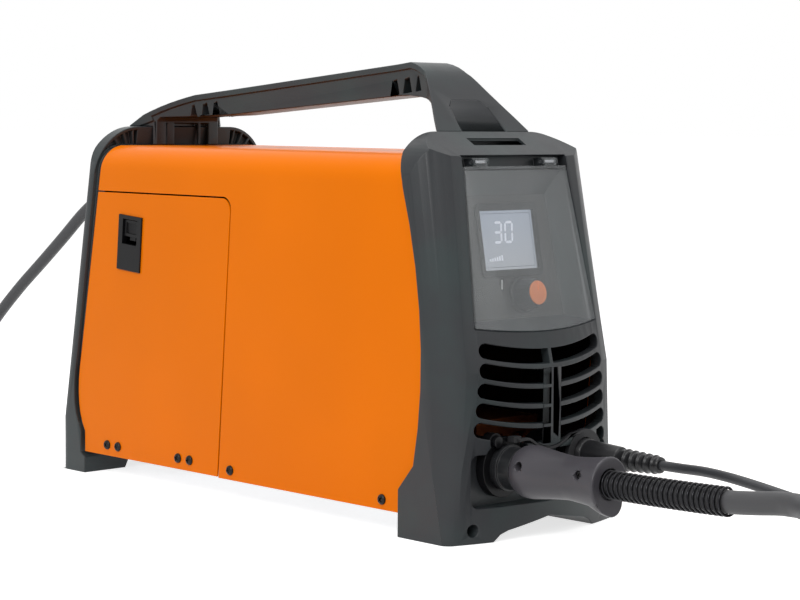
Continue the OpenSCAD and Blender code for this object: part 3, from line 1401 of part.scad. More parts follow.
module power_module() {
    z = case_z + sheet_t + 0.02;
    color(steel) {
        block([-22, -70, z], [78, 110, z + 8]);
        for (x = [-22:8:78]) block([x, -70, z + 7], [min(x + 2.5, 78), 110, z + 46]);
    }
    color(board) block([-24, -76, z + 46], [82, 114, z + 48]);
    color(black) for (x = [-10, 22, 54], y = [-50, 60])
        translate([x + 8, y + 14, z + 47]) cylinder(r = 13, h = 40);
    color(black) for (y = [-10, 20]) block([-16, y, z + 47], [70, y + 20, z + 62]);
}

module transformer() {
    z = case_z + sheet_t + 0.02;
    color(dark) difference() {
        block([8, -160, z], [78, -88, z + 56]);
        for (s = [0, 1]) block([22 + 26 * s, -170, z + 12], [38 + 26 * s, -80, z + 44]);
    }
    color(copper) translate([43, -124, z + 28]) rotate([90, 0, 0]) difference() {
        translate([0, 0, -32]) linear_extrude(64) soft_rect(40, 30, 6);
        translate([0, 0, -40]) linear_extrude(80) square([9.6, 31], center = true);
    }
}

module air_valve() {
    z = case_z + sheet_t + 0.02;
    color(brass) block([-72, -130, z], [-40, -90, z + 24]);
    color(black) translate([-56, -110, z + 23.9]) cylinder(r = 14, h = 34);
    color(steel) bar_y(-56, z + 12, -140, -129, 5);
}

// Least clear gap between the turns of each wound form, and the length of each lead
union() {
    echo(torch_turn_gap = least_gap(torch_coil_path, 10, torch_d));
    echo(work_turn_gap = least_gap(work_coil_path, 10, work_d));
    echo(mains_turn_gap = least_gap(mains_coil_path, 10, mains_d));
    echo(spring_turn_gap = least_gap(spring_path, 4, spring_wire));
    echo(torch_length = path_length(torch_route) + path_length(torch_coil_path));
    echo(work_length = path_length(work_route) + path_length(work_coil_path) + path_length(tail_route));
    echo(mains_length = path_length(mains_route) + path_length(mains_coil_path));
}

base_tray();
case_cover();
front_bezel();
rear_bezel();
handle();
rear_panel();
storage_tray();
case_screws();
bezel_screws();
side_door();
door_screws();
hinge_leaves();
door_leaves();
hinge_pins();
latch_housing();
latch_slide();
control_panel();
display_frame();
display_screen();
control_board();
control_encoder();
control_knob();
knob_cap();
lens_cover();
lens_pins();
torch_socket();
socket_latch();
socket_strap();
work_socket();
torch_plug_collar();
torch_plug_body();
torch_plug_screws();
torch_spring();
torch_lead();
torch_coil();
torch_handle();
torch_head();
torch_cup();
torch_trigger();
torch_safety();
work_plug();
work_lead();
work_coil();
work_tail();
clamp_jaw_fixed();
clamp_jaw_moving();
clamp_pin();
mains_gland();
mains_lead();
mains_coil();
mains_plug();
switch_frame();
power_switch();
air_inlet();
fan_frame();
fan_rotor();
power_module();
transformer();
air_valve();
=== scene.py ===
"""Looks of a portable plasma cutter, built around its fixed and jointed frame.

Sizes are in metres in the frame's own axes: X across the unit, Y from its front to its rear and
Z up. The unit's left side, with the door, faces -X. Each sub-assembly is a class that holds its
sizes, builds its pieces and dresses them, and each finish is a small class of its own.
"""

import functools
import json
import logging
import math
import operator
from dataclasses import dataclass, field
from enum import Enum
from typing import Callable, Iterable, Sequence

import bmesh
import bpy
import numpy as np
from mathutils import Matrix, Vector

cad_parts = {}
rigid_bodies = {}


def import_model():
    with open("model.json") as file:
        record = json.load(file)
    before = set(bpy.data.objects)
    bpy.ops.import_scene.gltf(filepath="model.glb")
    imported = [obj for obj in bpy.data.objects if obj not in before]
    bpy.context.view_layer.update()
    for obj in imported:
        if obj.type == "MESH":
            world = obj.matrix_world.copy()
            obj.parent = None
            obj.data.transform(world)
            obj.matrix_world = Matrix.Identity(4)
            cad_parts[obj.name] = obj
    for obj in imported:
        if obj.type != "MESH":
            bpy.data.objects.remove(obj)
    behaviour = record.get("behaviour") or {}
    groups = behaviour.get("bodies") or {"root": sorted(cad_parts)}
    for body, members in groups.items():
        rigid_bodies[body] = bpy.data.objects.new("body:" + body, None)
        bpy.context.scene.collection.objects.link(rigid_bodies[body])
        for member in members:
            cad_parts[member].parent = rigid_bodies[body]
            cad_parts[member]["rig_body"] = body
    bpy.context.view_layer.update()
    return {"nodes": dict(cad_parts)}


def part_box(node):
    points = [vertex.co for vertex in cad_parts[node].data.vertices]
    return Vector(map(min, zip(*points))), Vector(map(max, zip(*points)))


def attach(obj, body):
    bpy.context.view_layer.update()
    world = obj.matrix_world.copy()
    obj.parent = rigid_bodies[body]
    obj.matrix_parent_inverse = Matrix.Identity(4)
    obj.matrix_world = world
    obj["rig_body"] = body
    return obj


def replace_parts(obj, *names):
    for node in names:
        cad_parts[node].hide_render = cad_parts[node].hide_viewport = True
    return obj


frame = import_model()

Array = np.ndarray
Colour = tuple[float, float, float]
Point = tuple[float, float, float]
log = logging.getLogger("plasma_cutter")

MM = 0.001
TURN = 2 * math.pi
UP = (0.0, 0.0, 1.0)
CASE_FACE = 0.09102


# ---- Shader maths ----


class Value:
    """A socket of a node tree that takes part in Python arithmetic.

    Args:
        tree: The tree that the socket belongs to.
        socket: The output socket.
    """

    def __init__(self, tree: "Tree", socket: bpy.types.NodeSocket) -> None:
        self.tree, self.socket = tree, socket

    def math(self, operation: str, other: object = 0.0, swapped: bool = False) -> "Value":
        """A Math node on this value and another.

        Args:
            operation: The Math node's operation.
            other: A number or a Value.
            swapped: Whether the other one comes first.

        Returns:
            The result's socket.
        """
        pair = (other, self) if swapped else (self, other)
        return self.tree.value("ShaderNodeMath", {"operation": operation}, {0: pair[0], 1: pair[1]})

    def __add__(self, other: object) -> "Value":
        """This plus the other."""
        return self.math("ADD", other)

    __radd__ = __add__

    def __sub__(self, other: object) -> "Value":
        """This less the other."""
        return self.math("SUBTRACT", other)

    def __rsub__(self, other: object) -> "Value":
        """The other less this."""
        return self.math("SUBTRACT", other, True)

    def __mul__(self, other: object) -> "Value":
        """This times the other."""
        return self.math("MULTIPLY", other)

    __rmul__ = __mul__

    def __truediv__(self, other: object) -> "Value":
        """This over the other."""
        return self.math("DIVIDE", other)

    def at_least(self, other: object) -> "Value":
        """The larger of the two."""
        return self.math("MAXIMUM", other)

    def ramp(self, low: float, high: float) -> "Value":
        """0 below low, 1 above high and a smooth step in between."""
        return self.tree.value("ShaderNodeMapRange", {"interpolation_type": "SMOOTHSTEP"},
                               {"Value": self, "From Min": low, "From Max": high})


class Tree:
    """A node tree under construction.

    Args:
        nodes: The tree that receives the nodes.
    """

    def __init__(self, nodes: bpy.types.NodeTree) -> None:
        self.tree = nodes
        self.tree.nodes.clear()

    def add(self, kind: str, settings: dict | None = None,
            inputs: dict | None = None) -> bpy.types.Node:
        """One node with its settings and the values or links of its sockets.

        Args:
            kind: The node's type.
            settings: Its properties, which are set first.
            inputs: Socket names or numbers with a value, a Value or a socket.

        Returns:
            The node.
        """
        node = self.tree.nodes.new(kind)
        for key, setting in (settings or {}).items():
            setattr(node, key, setting)
        for key, given in (inputs or {}).items():
            socket, given = node.inputs[key], given.socket if isinstance(given, Value) else given
            if isinstance(given, bpy.types.NodeSocket):
                self.tree.links.new(given, socket)
            else:
                is_colour = socket.type == "RGBA" and len(given) == 3
                socket.default_value = (*given, 1.0) if is_colour else given
        return node

    def value(self, kind: str, settings: dict | None = None, inputs: dict | None = None,
              output: int | str = 0) -> Value:
        """A node's output as a Value; the arguments are those of add, and the output's name."""
        return Value(self, self.add(kind, settings, inputs).outputs[output])

    def place(self) -> bpy.types.NodeSocket:
        """The object coordinates, in metres."""
        return self.add("ShaderNodeTexCoord").outputs["Object"]

    def axes(self) -> tuple[Value, Value, Value]:
        """The three object coordinates as values."""
        split = self.add("ShaderNodeSeparateXYZ", inputs={0: self.place()})
        return tuple(Value(self, out) for out in split.outputs)

    def noise(self, scale: float, detail: float = 2.0, rough: float = 0.5,
              stretch: Point = (1.0, 1.0, 1.0)) -> Value:
        """Soft noise on the object coordinates.

        Args:
            scale: Bumps per metre.
            detail: Octaves.
            rough: Weight of the finer octaves.
            stretch: Scale along each axis.

        Returns:
            The noise, from 0 to 1.
        """
        mapped = self.add("ShaderNodeMapping", inputs={"Vector": self.place(), "Scale": stretch})
        return self.value("ShaderNodeTexNoise", None, {
            "Vector": mapped.outputs[0], "Scale": scale, "Detail": detail, "Roughness": rough})

    def cells(self, scale: float) -> Value:
        """Distance to the nearest of scattered points, scale of them to the metre."""
        return self.value("ShaderNodeTexVoronoi", None,
                          {"Vector": self.place(), "Scale": scale}, "Distance")

    def mix(self, share: object, first: object, second: object) -> bpy.types.NodeSocket:
        """A colour between two.

        Args:
            share: 0 for the first colour, 1 for the second.
            first: A linear colour or a colour socket.
            second: The same.

        Returns:
            The colour's socket.
        """
        share_in, first_in, second_in, colour_out = 0, 6, 7, 2
        return self.add("ShaderNodeMix", {"data_type": "RGBA"}, {
            share_in: share, first_in: first, second_in: second}).outputs[colour_out]

    def bump(self, height: Value, depth: float) -> bpy.types.NodeSocket:
        """Normals of a relief whose full depth is given in metres."""
        return self.add("ShaderNodeBump", None, {"Height": height, "Distance": depth}).outputs["Normal"]

    def surface(self, **inputs: object) -> bpy.types.Node:
        """A Principled surface joined to the output; a double underscore stands for a space."""
        shader = self.add("ShaderNodeBsdfPrincipled", None,
                          {key.replace("__", " "): given for key, given in inputs.items()})
        self.add("ShaderNodeOutputMaterial", None, {"Surface": shader.outputs[0]})
        return shader


def linear(colour: Colour, lift: float = 1.0) -> Colour:
    """A display colour of 0 to 255 as a linear one, times lift.

    Each channel c becomes ((c + 0.055) / 1.055) to the power 2.4, or c / 12.92 when it is small.
    """
    c = np.asarray(colour, float) / 255.0
    value = np.where(c <= 0.04045, c / 12.92, ((c + 0.055) / 1.055) ** 2.4) * lift
    return tuple(float(x) for x in np.clip(value, 0.0, 1.0))


# ---- Finishes ----


@dataclass(frozen=True)
class Finish:
    """One finish.

    Args:
        name: The material's name.
        slot: The record's material slot; not used.
        colour: Display colour, 0 to 255.
    """

    name: str
    slot: str
    colour: Colour

    def material(self) -> bpy.types.Material:
        """The finish's material, made the first time that it is asked for."""
        found = bpy.data.materials.get(self.name)
        if found is None:
            found = bpy.data.materials.new(self.name)
            found.use_nodes = True
            self.make(Tree(found.node_tree))
        return found

    def make(self, tree: Tree) -> None:
        """Builds the finish's nodes in an empty tree."""
        raise NotImplementedError


@dataclass(frozen=True)
class MouldedPlastic(Finish):
    """Moulded plastic with a fine spark-eroded grain and a slightly cloudy colour.

    Args:
        roughness: Mean roughness.
        grain: Grains per metre.
        relief: Depth of the grain, in metres.
        sheen_colour: Colour of the cloudier patches, a painted sheen.
        specular: Strength of the plain reflection.
    """

    roughness: float = 0.42
    grain: float = 1500.0
    relief: float = 0.00005
    sheen_colour: Colour | None = None
    specular: float = 0.5

    def make(self, tree: Tree) -> None:
        """Grain from scattered cells and noise; colour and roughness drift over a few centimetres."""
        grain = tree.cells(self.grain) * 0.6 + tree.noise(self.grain * 0.55, detail=3.0) * 0.5
        cloud = tree.noise(16.0, detail=3.0, rough=0.55)
        # Painted sheen: where a sheen colour is given, as the bezel's teal, the cloudier patches take
        # it.
        colour = tree.mix(cloud.ramp(0.35, 0.7), linear(self.colour, 0.9),
                          linear(self.sheen_colour or self.colour, 1.1))
        rough = tree.noise(90.0, detail=3.0) * 0.1 + (grain * 0.08 + (self.roughness - 0.1))
        tree.surface(Base__Color=colour, Roughness=rough, Specular__IOR__Level=self.specular,
                     Normal=tree.bump(grain, self.relief))


@dataclass(frozen=True)
class SheetPaint(Finish):
    """Gloss powder paint on sheet: a soft orange-peel relief under a clear coat.

    Args:
        roughness: Mean roughness.
        peel: Waves of the orange peel per metre.
        relief: Depth of the peel, in metres.
        specular: Strength of the plain reflection.
        coat: Share of the clear coat.
        shaded_inside: Half width and height inside which the walls take a painted shade, or None.
        inside_shade: Display colour of that painted shade.
    """

    roughness: float = 0.3
    peel: float = 420.0
    relief: float = 0.00003
    specular: float = 0.16
    coat: float = 0.03
    shaded_inside: tuple[float, float] | None = None
    inside_shade: Colour = (14, 14, 15)

    def cover(self, tree: Tree, paint: bpy.types.NodeSocket) -> bpy.types.NodeSocket:
        """The paint, or a near-black painted shade where a point lies inside the box's walls."""
        if self.shaded_inside is None:
            return paint
        across, _, up = tree.axes()
        half, height = self.shaded_inside
        soft = 0.2 * MM
        beside, above = across.math("ABSOLUTE").ramp(half, half + soft), up.ramp(height, height + soft)
        # Painted shade: inside the case's walls the colour is near black, where only shade falls.
        return tree.mix(beside.at_least(above), linear(self.inside_shade), paint)

    def make(self, tree: Tree) -> None:
        """Two scales of orange peel, a slow wave of the sheet and a little drift of the colour."""
        peel = tree.noise(self.peel, detail=2.0) + tree.noise(self.peel * 0.3, detail=1.0) * 0.8
        wave = tree.noise(9.0, detail=1.0, stretch=(1.0, 1.0, 2.2))
        colour = tree.mix(tree.noise(6.0, detail=2.0).ramp(0.3, 0.75), linear(self.colour, 0.97),
                          linear(self.colour, 1.05))
        tree.surface(Base__Color=self.cover(tree, colour),
                     Roughness=peel * 0.06 + (self.roughness - 0.05),
                     Specular__IOR__Level=self.specular, Specular__Tint=linear(self.colour, 1.1),
                     Coat__Weight=self.coat, Coat__Roughness=0.1,
                     Normal=tree.bump(peel * 0.04 + wave * 2.0, self.relief * 10))


@dataclass(frozen=True)
class BareMetal(Finish):
    """Bare or plated metal with fine rolling lines.

    Args:
        roughness: Mean roughness.
        stretch: Scale of the lines along each axis; the small one is their direction.
        lines: Lines per metre.
    """

    roughness: float = 0.32
    stretch: Point = (1.0, 0.05, 1.0)
    lines: float = 2600.0

    def make(self, tree: Tree) -> None:
        """Lines from stretched noise, with dull patches where it was handled."""
        lines = tree.noise(self.lines, detail=2.0, stretch=self.stretch)
        dull = tree.noise(45.0, detail=4.0, rough=0.6).ramp(0.4, 0.75)
        colour = tree.mix(dull, linear(self.colour), linear(self.colour, 0.72))
        tree.surface(Base__Color=colour, Metallic=1.0,
                     Roughness=dull * 0.16 + (lines * 0.14 + (self.roughness - 0.1)),
                     Normal=tree.bump(lines, 0.00002))


@dataclass(frozen=True)
class BlackedSteel(Finish):
    """Blacked screw or spring steel: dark, with a worn sheen.

    Args:
        roughness: Roughness of the dark skin.
        metal: How metallic it is.
    """

    roughness: float = 0.28
    metal: float = 0.6

    def make(self, tree: Tree) -> None:
        """Dark oxide that thins out in specks."""
        specks = tree.noise(900.0, detail=3.0, rough=0.6).ramp(0.5, 0.8)
        colour = tree.mix(specks, linear(self.colour), linear(self.colour, 1.8))
        tree.surface(Base__Color=colour, Metallic=self.metal, Roughness=specks * 0.15 + self.roughness,
                     Normal=tree.bump(specks, 0.00002))


@dataclass(frozen=True)
class SoftRubber(Finish):
    """Matt moulded rubber with dusty bloom."""

    roughness: float = 0.62

    def make(self, tree: Tree) -> None:
        """A fine pitted skin and a paler bloom in patches."""
        pits = tree.noise(1300.0, detail=3.0)
        bloom = tree.noise(60.0, detail=4.0, rough=0.6).ramp(0.45, 0.8)
        tree.surface(Base__Color=tree.mix(bloom, linear(self.colour), linear(self.colour, 1.5)),
                     Roughness=bloom * 0.12 + (pits * 0.08 + (self.roughness - 0.06)),
                     Specular__IOR__Level=0.4, Normal=tree.bump(pits, 0.00006))


@dataclass(frozen=True)
class CordJacket(Finish):
    """Extruded cord jacket, patterned along and round the cord by its own UV map.

    Args:
        roughness: Mean roughness.
        lay: Twist marks per metre from the cores inside.
        relief: Depth of the marks, in metres.
    """

    roughness: float = 0.5
    lay: float = 22.0
    relief: float = 0.00025

    def make(self, tree: Tree) -> None:
        """Spiral marks of the cores and fine drawing lines along the jacket.

        The spiral is a sine of the turns round plus the length times the lay.
        """
        split = tree.add("ShaderNodeSeparateXYZ", inputs={0: tree.add("ShaderNodeUVMap").outputs[0]})
        along, around = Value(tree, split.outputs[0]), Value(tree, split.outputs[1])
        cores = 3.0
        spiral = ((along * self.lay + around * cores) * TURN).math("SINE") * 0.5 + 0.5
        drawn = tree.value("ShaderNodeTexNoise", None, {
            "Vector": tree.value("ShaderNodeCombineXYZ", None, {0: along * 3.0, 1: around * 40.0}),
            "Scale": 6.0, "Detail": 3.0})
        scuff = tree.noise(35.0, detail=4.0, rough=0.6).ramp(0.5, 0.85)
        tree.surface(Base__Color=tree.mix(scuff, linear(self.colour), linear(self.colour, 1.35)),
                     Roughness=scuff * 0.15 + (drawn * 0.1 + (self.roughness - 0.05)),
                     Normal=tree.bump(spiral * 0.6 + drawn * 0.5, self.relief))


@dataclass(frozen=True)
class ClearPlastic(Finish):
    """Clear moulded lens under a faint pale layer, a painted reflection, that thickens in streaks.

    Args:
        roughness: Least roughness.
        painted_reflection: Least cover of what is behind it by the pale painted reflection.
    """

    roughness: float = 0.03
    painted_reflection: float = 0.15

    def make(self, tree: Tree) -> None:
        """A thin pale painted reflection that thickens in streaks, over whatever is behind it."""
        streaks = tree.noise(60.0, detail=4.0, rough=0.6, stretch=(1.0, 1.0, 0.25)).ramp(0.4, 0.9)
        # Painted reflection: a pale base colour at low alpha brightens what lies behind the lens.
        tree.surface(Base__Color=linear(self.colour), Roughness=streaks * 0.05 + self.roughness,
                     IOR=1.5, Alpha=streaks * 0.05 + self.painted_reflection,
                     Normal=tree.bump(tree.noise(14.0, detail=1.0), 0.0004))


@dataclass(frozen=True)
class BacklitDisplay(Finish):
    """Backlit liquid crystal display behind glass.

    Args:
        low: Height of its lower edge.
        high: Height of its upper edge.
        glow: Strength of the backlight.
        pixels: Waves of the pixel grid, in radians per metre.
    """

    low: float = 0.0
    high: float = 1.0
    glow: float = 0.78
    pixels: float = 5200.0

    def make(self, tree: Tree) -> None:
        """The backlight is paler in the middle and bluer at the top, with a fine pixel grid."""
        across, _, up = tree.axes()
        height = (up - self.low) / (self.high - self.low)
        pixel = (across * self.pixels).math("SINE") * (up * self.pixels).math("SINE") * 0.02
        middle = 1.0 - (across * across * 420.0)
        warm, cold, rim = (linear(c) for c in ((178, 183, 190), (165, 177, 196), (150, 158, 172)))
        colour = tree.mix(height * 0.8 + pixel, warm, cold)
        lit = tree.mix((middle * 0.9).ramp(0.0, 1.0), rim, colour)
        tree.surface(Base__Color=linear((30, 32, 34)), Roughness=0.12, Emission__Color=lit,
                     Emission__Strength=self.glow, Specular__IOR__Level=0.5)


@dataclass(frozen=True)
class PrintedInk(Finish):
    """Flat printed or lit mark.

    Args:
        glow: Strength of its own light.
    """

    glow: float = 0.0

    def make(self, tree: Tree) -> None:
        """Ink of slightly uneven cover."""
        cover = tree.noise(900.0, detail=2.0)
        tree.surface(Base__Color=tree.mix(cover, linear(self.colour), linear(self.colour, 0.85)),
                     Roughness=0.45, Emission__Color=linear(self.colour),
                     Emission__Strength=self.glow)


@dataclass(frozen=True)
class CircuitBoard(Finish):
    """Solder-masked circuit board with tracks."""

    def make(self, tree: Tree) -> None:
        """Tracks where a coarse cell pattern is near its borders."""
        track = tree.value("ShaderNodeTexVoronoi",
                           {"feature": "DISTANCE_TO_EDGE", "distance": "EUCLIDEAN"},
                           {"Vector": tree.place(), "Scale": 220.0}, "Distance").ramp(0.03, 0.07)
        tree.surface(Base__Color=tree.mix(track, linear(self.colour, 1.7), linear(self.colour)),
                     Roughness=track * 0.15 + 0.25, Normal=tree.bump(track, 0.00004))


@dataclass(frozen=True)
class WoundCopper(Finish):
    """Enamelled winding wire laid side by side."""

    def make(self, tree: Tree) -> None:
        """Wires as a sine across the winding, a millimetre apart, with painted shade in the grooves."""
        _, _, up = tree.axes()
        wires = (up * (TURN / MM)).math("SINE") * 0.5 + 0.5
        # Painted shade: the colour falls to half in the grooves between the wires.
        tree.surface(Base__Color=tree.mix(wires, linear(self.colour, 0.5), linear(self.colour)),
                     Metallic=0.8, Roughness=0.3, Normal=tree.bump(wires, 0.0003))


class Finishes(Enum):
    """Every finish of the unit."""

    ORANGE = SheetPaint("orange_gloss_paint", "case_orange", (243, 123, 0))
    # The case's inner faces carry a near-black painted shade.
    CASE = SheetPaint("inside_shaded_orange_paint", "case_orange", (243, 123, 0), shaded_inside=(0.0899, 0.2610))
    # The bezel's teal cloudy patches are a painted sheen.
    BEZEL = MouldedPlastic("bezel_grained_plastic", "bezel_grey", (47, 49, 52), 0.38, 1500.0,
                           0.00006, (43, 52, 53), 0.34)
    PANEL = MouldedPlastic("panel_grey_plastic", "bezel_grey", (66, 66, 65), 0.5, 1900.0, specular=0.3)
    PLUG = MouldedPlastic("plug_grey_plastic", "bezel_grey", (66, 64, 69), 0.4, 1700.0, specular=0.4)
    BLACK = MouldedPlastic("black_moulded_plastic", "black_plastic", (15, 15, 17), 0.36, 1700.0,
                           0.00004, specular=0.18)
    COLLAR = MouldedPlastic("collar_dark_plastic", "black_plastic", (34, 35, 37), 0.3, 1700.0,
                            0.00003, specular=0.3)
    TRIM = MouldedPlastic("trim_orange_plastic", "trim_orange", (246, 140, 72), 0.4, 1700.0, 0.00003)
    SWITCH = MouldedPlastic("switch_red_plastic", "switch_red", (176, 28, 22), 0.3, 1700.0, 0.00003)
    ZINC = BareMetal("zinc_plated_sheet", "sheet_steel", (182, 184, 188))
    DARK_SHEET = SheetPaint("black_painted_sheet", "black_sheet", (34, 35, 37), 0.45)
    SCREW = BlackedSteel("blacked_screw_steel", "black_screw", (28, 27, 28))
    SPRING = BlackedSteel("black_spring_steel", "black_screw", (30, 30, 33), 0.2, 0.75)
    RUBBER = SoftRubber("black_moulded_rubber", "black_rubber", (34, 34, 36))
    BOOT = SoftRubber("gloss_boot_rubber", "black_rubber", (28, 28, 30), 0.34)
    TORCH_CORD = CordJacket("torch_lead_jacket", "cord_grey", (66, 66, 68), 0.5, 11.0, 0.0002)
    THIN_CORD = CordJacket("thin_lead_jacket", "cord_grey", (50, 51, 54), 0.42, 24.0, 0.00012)
    COPPER = BareMetal("machined_copper", "copper", (196, 120, 84), 0.26, (0.05, 1.0, 1.0))
    WINDING = WoundCopper("copper_winding", "copper", (176, 96, 52))
    BRASS = BareMetal("turned_brass", "brass", (196, 164, 92), 0.24, (1.0, 0.05, 1.0))
    HEAT_SINK = BareMetal("heat_sink_aluminium", "heat_sink", (170, 172, 176), 0.38, (0.05, 1.0, 1.0))
    BOARD = CircuitBoard("green_circuit_board", "board_green", (24, 92, 52))
    # The lens's pale colour is a painted reflection.
    LENS = ClearPlastic("clear_lens_plastic", "clear_lens", (196, 200, 202))
    WHITE_INK = PrintedInk("white_printed_ink", "display_glass", (236, 238, 238))
    DISPLAY_INK = PrintedInk("pale_display_segments", "display_glass", (200, 205, 216), 0.66)
    DISPLAY_LINE = PrintedInk("dark_display_line", "display_glass", (96, 102, 116), 0.2)


# ---- Surfaces ----


class Shape:
    """Points and faces of a surface under construction.

    Args:
        points: Rows of x, y and z.
        faces: Lists of point numbers.
        uv: Two numbers for every face corner, in the order of the faces, or None.
    """

    def __init__(self, points: Array, faces: list, uv: Array | None = None) -> None:
        self.points, self.faces, self.uv = points, faces, uv

    def __add__(self, other: "Shape") -> "Shape":
        """Both surfaces as one, without a UV map."""
        shift = len(self.points)
        return Shape(np.concatenate((self.points, other.points)),
                     self.faces + [[i + shift for i in f] for f in other.faces])

    def moved(self, place: "Place") -> "Shape":
        """The surface carried from a local frame into the unit's."""
        return Shape(place.at(self.points), self.faces, self.uv)

    def piece(self, name: str, finish: Finishes, body: str) -> bpy.types.Object:
        """The surface as an object at the origin, its normals outward and its poles welded.

        Args:
            name: The piece's name.
            finish: Its finish.
            body: The CAD body that it rides on.

        Returns:
            The object.
        """
        mesh = bpy.data.meshes.new(name)
        mesh.from_pydata(self.points.tolist(), [], self.faces)
        if self.uv is not None:
            layer = mesh.uv_layers.new(name="along_and_round")
            layer.data.foreach_set("uv", self.uv.astype(np.float32).ravel())
        work = bmesh.new()
        work.from_mesh(mesh)
        bmesh.ops.remove_doubles(work, verts=work.verts, dist=1e-7)
        bmesh.ops.recalc_face_normals(work, faces=work.faces)
        work.to_mesh(mesh)
        work.free()
        return dress(bpy.data.objects.new(name, mesh), finish, body)


def merged(shapes: Iterable[Shape]) -> Shape:
    """Several surfaces as one."""
    return functools.reduce(operator.add, shapes)


def coat(piece: bpy.types.Object, material: bpy.types.Material) -> None:
    """Gives every face of a piece one material."""
    piece.data.materials.clear()
    piece.data.materials.append(material)
    piece.data.polygons.foreach_set("material_index", np.zeros(len(piece.data.polygons), np.int32))


def dress(piece: bpy.types.Object, finish: Finishes, body: str,
          crease: float = 40.0) -> bpy.types.Object:
    """Gives a new piece its finish, body and smooth shading.

    Args:
        piece: The piece, at the origin.
        finish: Its finish.
        body: The CAD body that it rides on.
        crease: Edges sharper than this many degrees stay sharp.

    Returns:
        The same piece.
    """
    bpy.context.scene.collection.objects.link(piece)
    coat(piece, finish.value.material())
    piece.data.polygons.foreach_set("use_smooth", np.ones(len(piece.data.polygons), bool))
    piece.data.set_sharp_from_angle(angle=math.radians(crease))
    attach(piece, body)
    log.info("%s rides on %s: %d faces", piece.name, body, len(piece.data.polygons))
    return piece


@dataclass(frozen=True)
class Place:
    """A local frame in the unit's frame.

    Args:
        origin: Where its zero stands.
        x: Direction of its first axis.
        y: Direction of its second axis.
        z: Direction of its third axis.
    """

    origin: Point
    x: Point
    y: Point
    z: Point

    def at(self, local: Array) -> Array:
        """Local points in the unit's frame: the origin plus each coordinate times its axis."""
        return np.asarray(self.origin) + np.asarray(local) @ np.array([self.x, self.y, self.z])

    def matrix(self) -> Matrix:
        """The matrix that stands an object in this frame."""
        rows = np.eye(4)
        rows[:3] = np.column_stack((self.x, self.y, self.z, self.origin))
        return Matrix(rows.tolist())

    @staticmethod
    def facing(origin: Point, out: Point, up: Point) -> "Place":
        """A frame whose Z points out and whose Y points up as far as it can.

        Args:
            origin: Where it stands.
            out: Direction of its Z axis.
            up: A direction that its Y axis leans towards.

        Returns:
            The frame.
        """
        z = np.asarray(out, float) / np.linalg.norm(out)
        x = np.cross(up, z)
        x /= np.linalg.norm(x)
        return Place(tuple(origin), tuple(x), tuple(np.cross(z, x)), tuple(z))


def grid(rows: int, columns: int) -> Array:
    """Four point numbers for each square of a grid whose last column joins its first.

    Args:
        rows: Points along the first parameter.
        columns: Points along the second parameter.

    Returns:
        An array of four point numbers to a face.
    """
    i, j = np.meshgrid(np.arange(rows - 1), np.arange(columns), indexing="ij")
    k = (j + 1) % columns
    return np.stack((i * columns + j, i * columns + k, (i + 1) * columns + k, (i + 1) * columns + j),
                    -1).reshape(-1, 4)


def turned(profile: Sequence[tuple[float, float]], steps: int = 48,
           swell: Callable[[Array, Array], Array] | None = None) -> Shape:
    """A profile turned about the local Z axis.

    A point at radius r and height h stands at (r cos a, r sin a, h) for each angle a, and the swell
    adds to the radius.

    Args:
        profile: Radius and height of each point, from pole to pole.
        steps: Points round.
        swell: Extra radius as a function of the height and the angle.

    Returns:
        The closed surface.
    """
    radius, height = np.array(profile, float).T[:, :, None]
    angle = np.linspace(0.0, TURN, steps, endpoint=False)[None, :]
    wide = np.maximum(radius + (0.0 if swell is None else swell(height, angle) * (radius > 0)), 0.0)
    points = np.stack(np.broadcast_arrays(wide * np.cos(angle), wide * np.sin(angle), height), -1)
    return Shape(points.reshape(-1, 3), grid(len(profile), steps).tolist())


def carried(path: Array, radius: float, sides: int, up: Array | Point = UP) -> Shape:
    """A round section carried along a path, closed at both ends.

    Round each point p of the path, at angle a, stands p + r (cos a side + sin a top), where side is
    across the path and the up direction, and top is across the path and the side. The UV map holds
    the length along the path in metres and the share of a turn round it.

    Args:
        path: Points of the centreline.
        radius: Radius of the section.
        sides: Points round.
        up: A direction never along the path, or one for each point.

    Returns:
        The closed surface.
    """
    tangent = unit(np.gradient(path, axis=0))
    side = unit(np.cross(tangent, np.broadcast_to(np.asarray(up, float), path.shape)))
    top = np.cross(side, tangent)
    angle = np.linspace(0.0, TURN, sides, endpoint=False)
    ring = np.cos(angle)[None, :, None] * side[:, None] + np.sin(angle)[None, :, None] * top[:, None]
    points = (path[:, None] + radius * ring).reshape(-1, 3)
    faces = grid(len(path), sides)
    along = np.concatenate(([0.0], np.cumsum(np.linalg.norm(np.diff(path, axis=0), axis=1))))
    row, column = np.divmod(np.arange((len(path) - 1) * sides), sides)
    corner = np.stack([np.stack((along[row + i], (column + j) / sides), -1)
                       for i, j in ((0, 0), (0, 1), (1, 1), (1, 0))], 1).reshape(-1, 2)
    ends = [list(range(sides)), list(range((len(path) - 1) * sides, len(path) * sides))]
    caps = np.concatenate([np.tile((along[i], 0.5), (sides, 1)) for i in (0, -1)])
    return Shape(points, faces.tolist() + ends, np.concatenate((corner, caps)))


def plate(outline: Array, high: float) -> Shape:
    """A flat outline in local X and Y with a thickness along Z.

    Args:
        outline: The corners in order.
        high: Z of its face; its underside is at 0.

    Returns:
        The closed surface.
    """
    count = len(outline)
    points = np.concatenate([np.column_stack((outline, np.full(count, z))) for z in (0.0, high)])
    ends = [list(range(count)), list(range(count, 2 * count))]
    return Shape(points, grid(2, count).tolist() + ends)


def unit(vectors: Array) -> Array:
    """Each vector at length one."""
    return vectors / np.linalg.norm(vectors, axis=-1, keepdims=True)


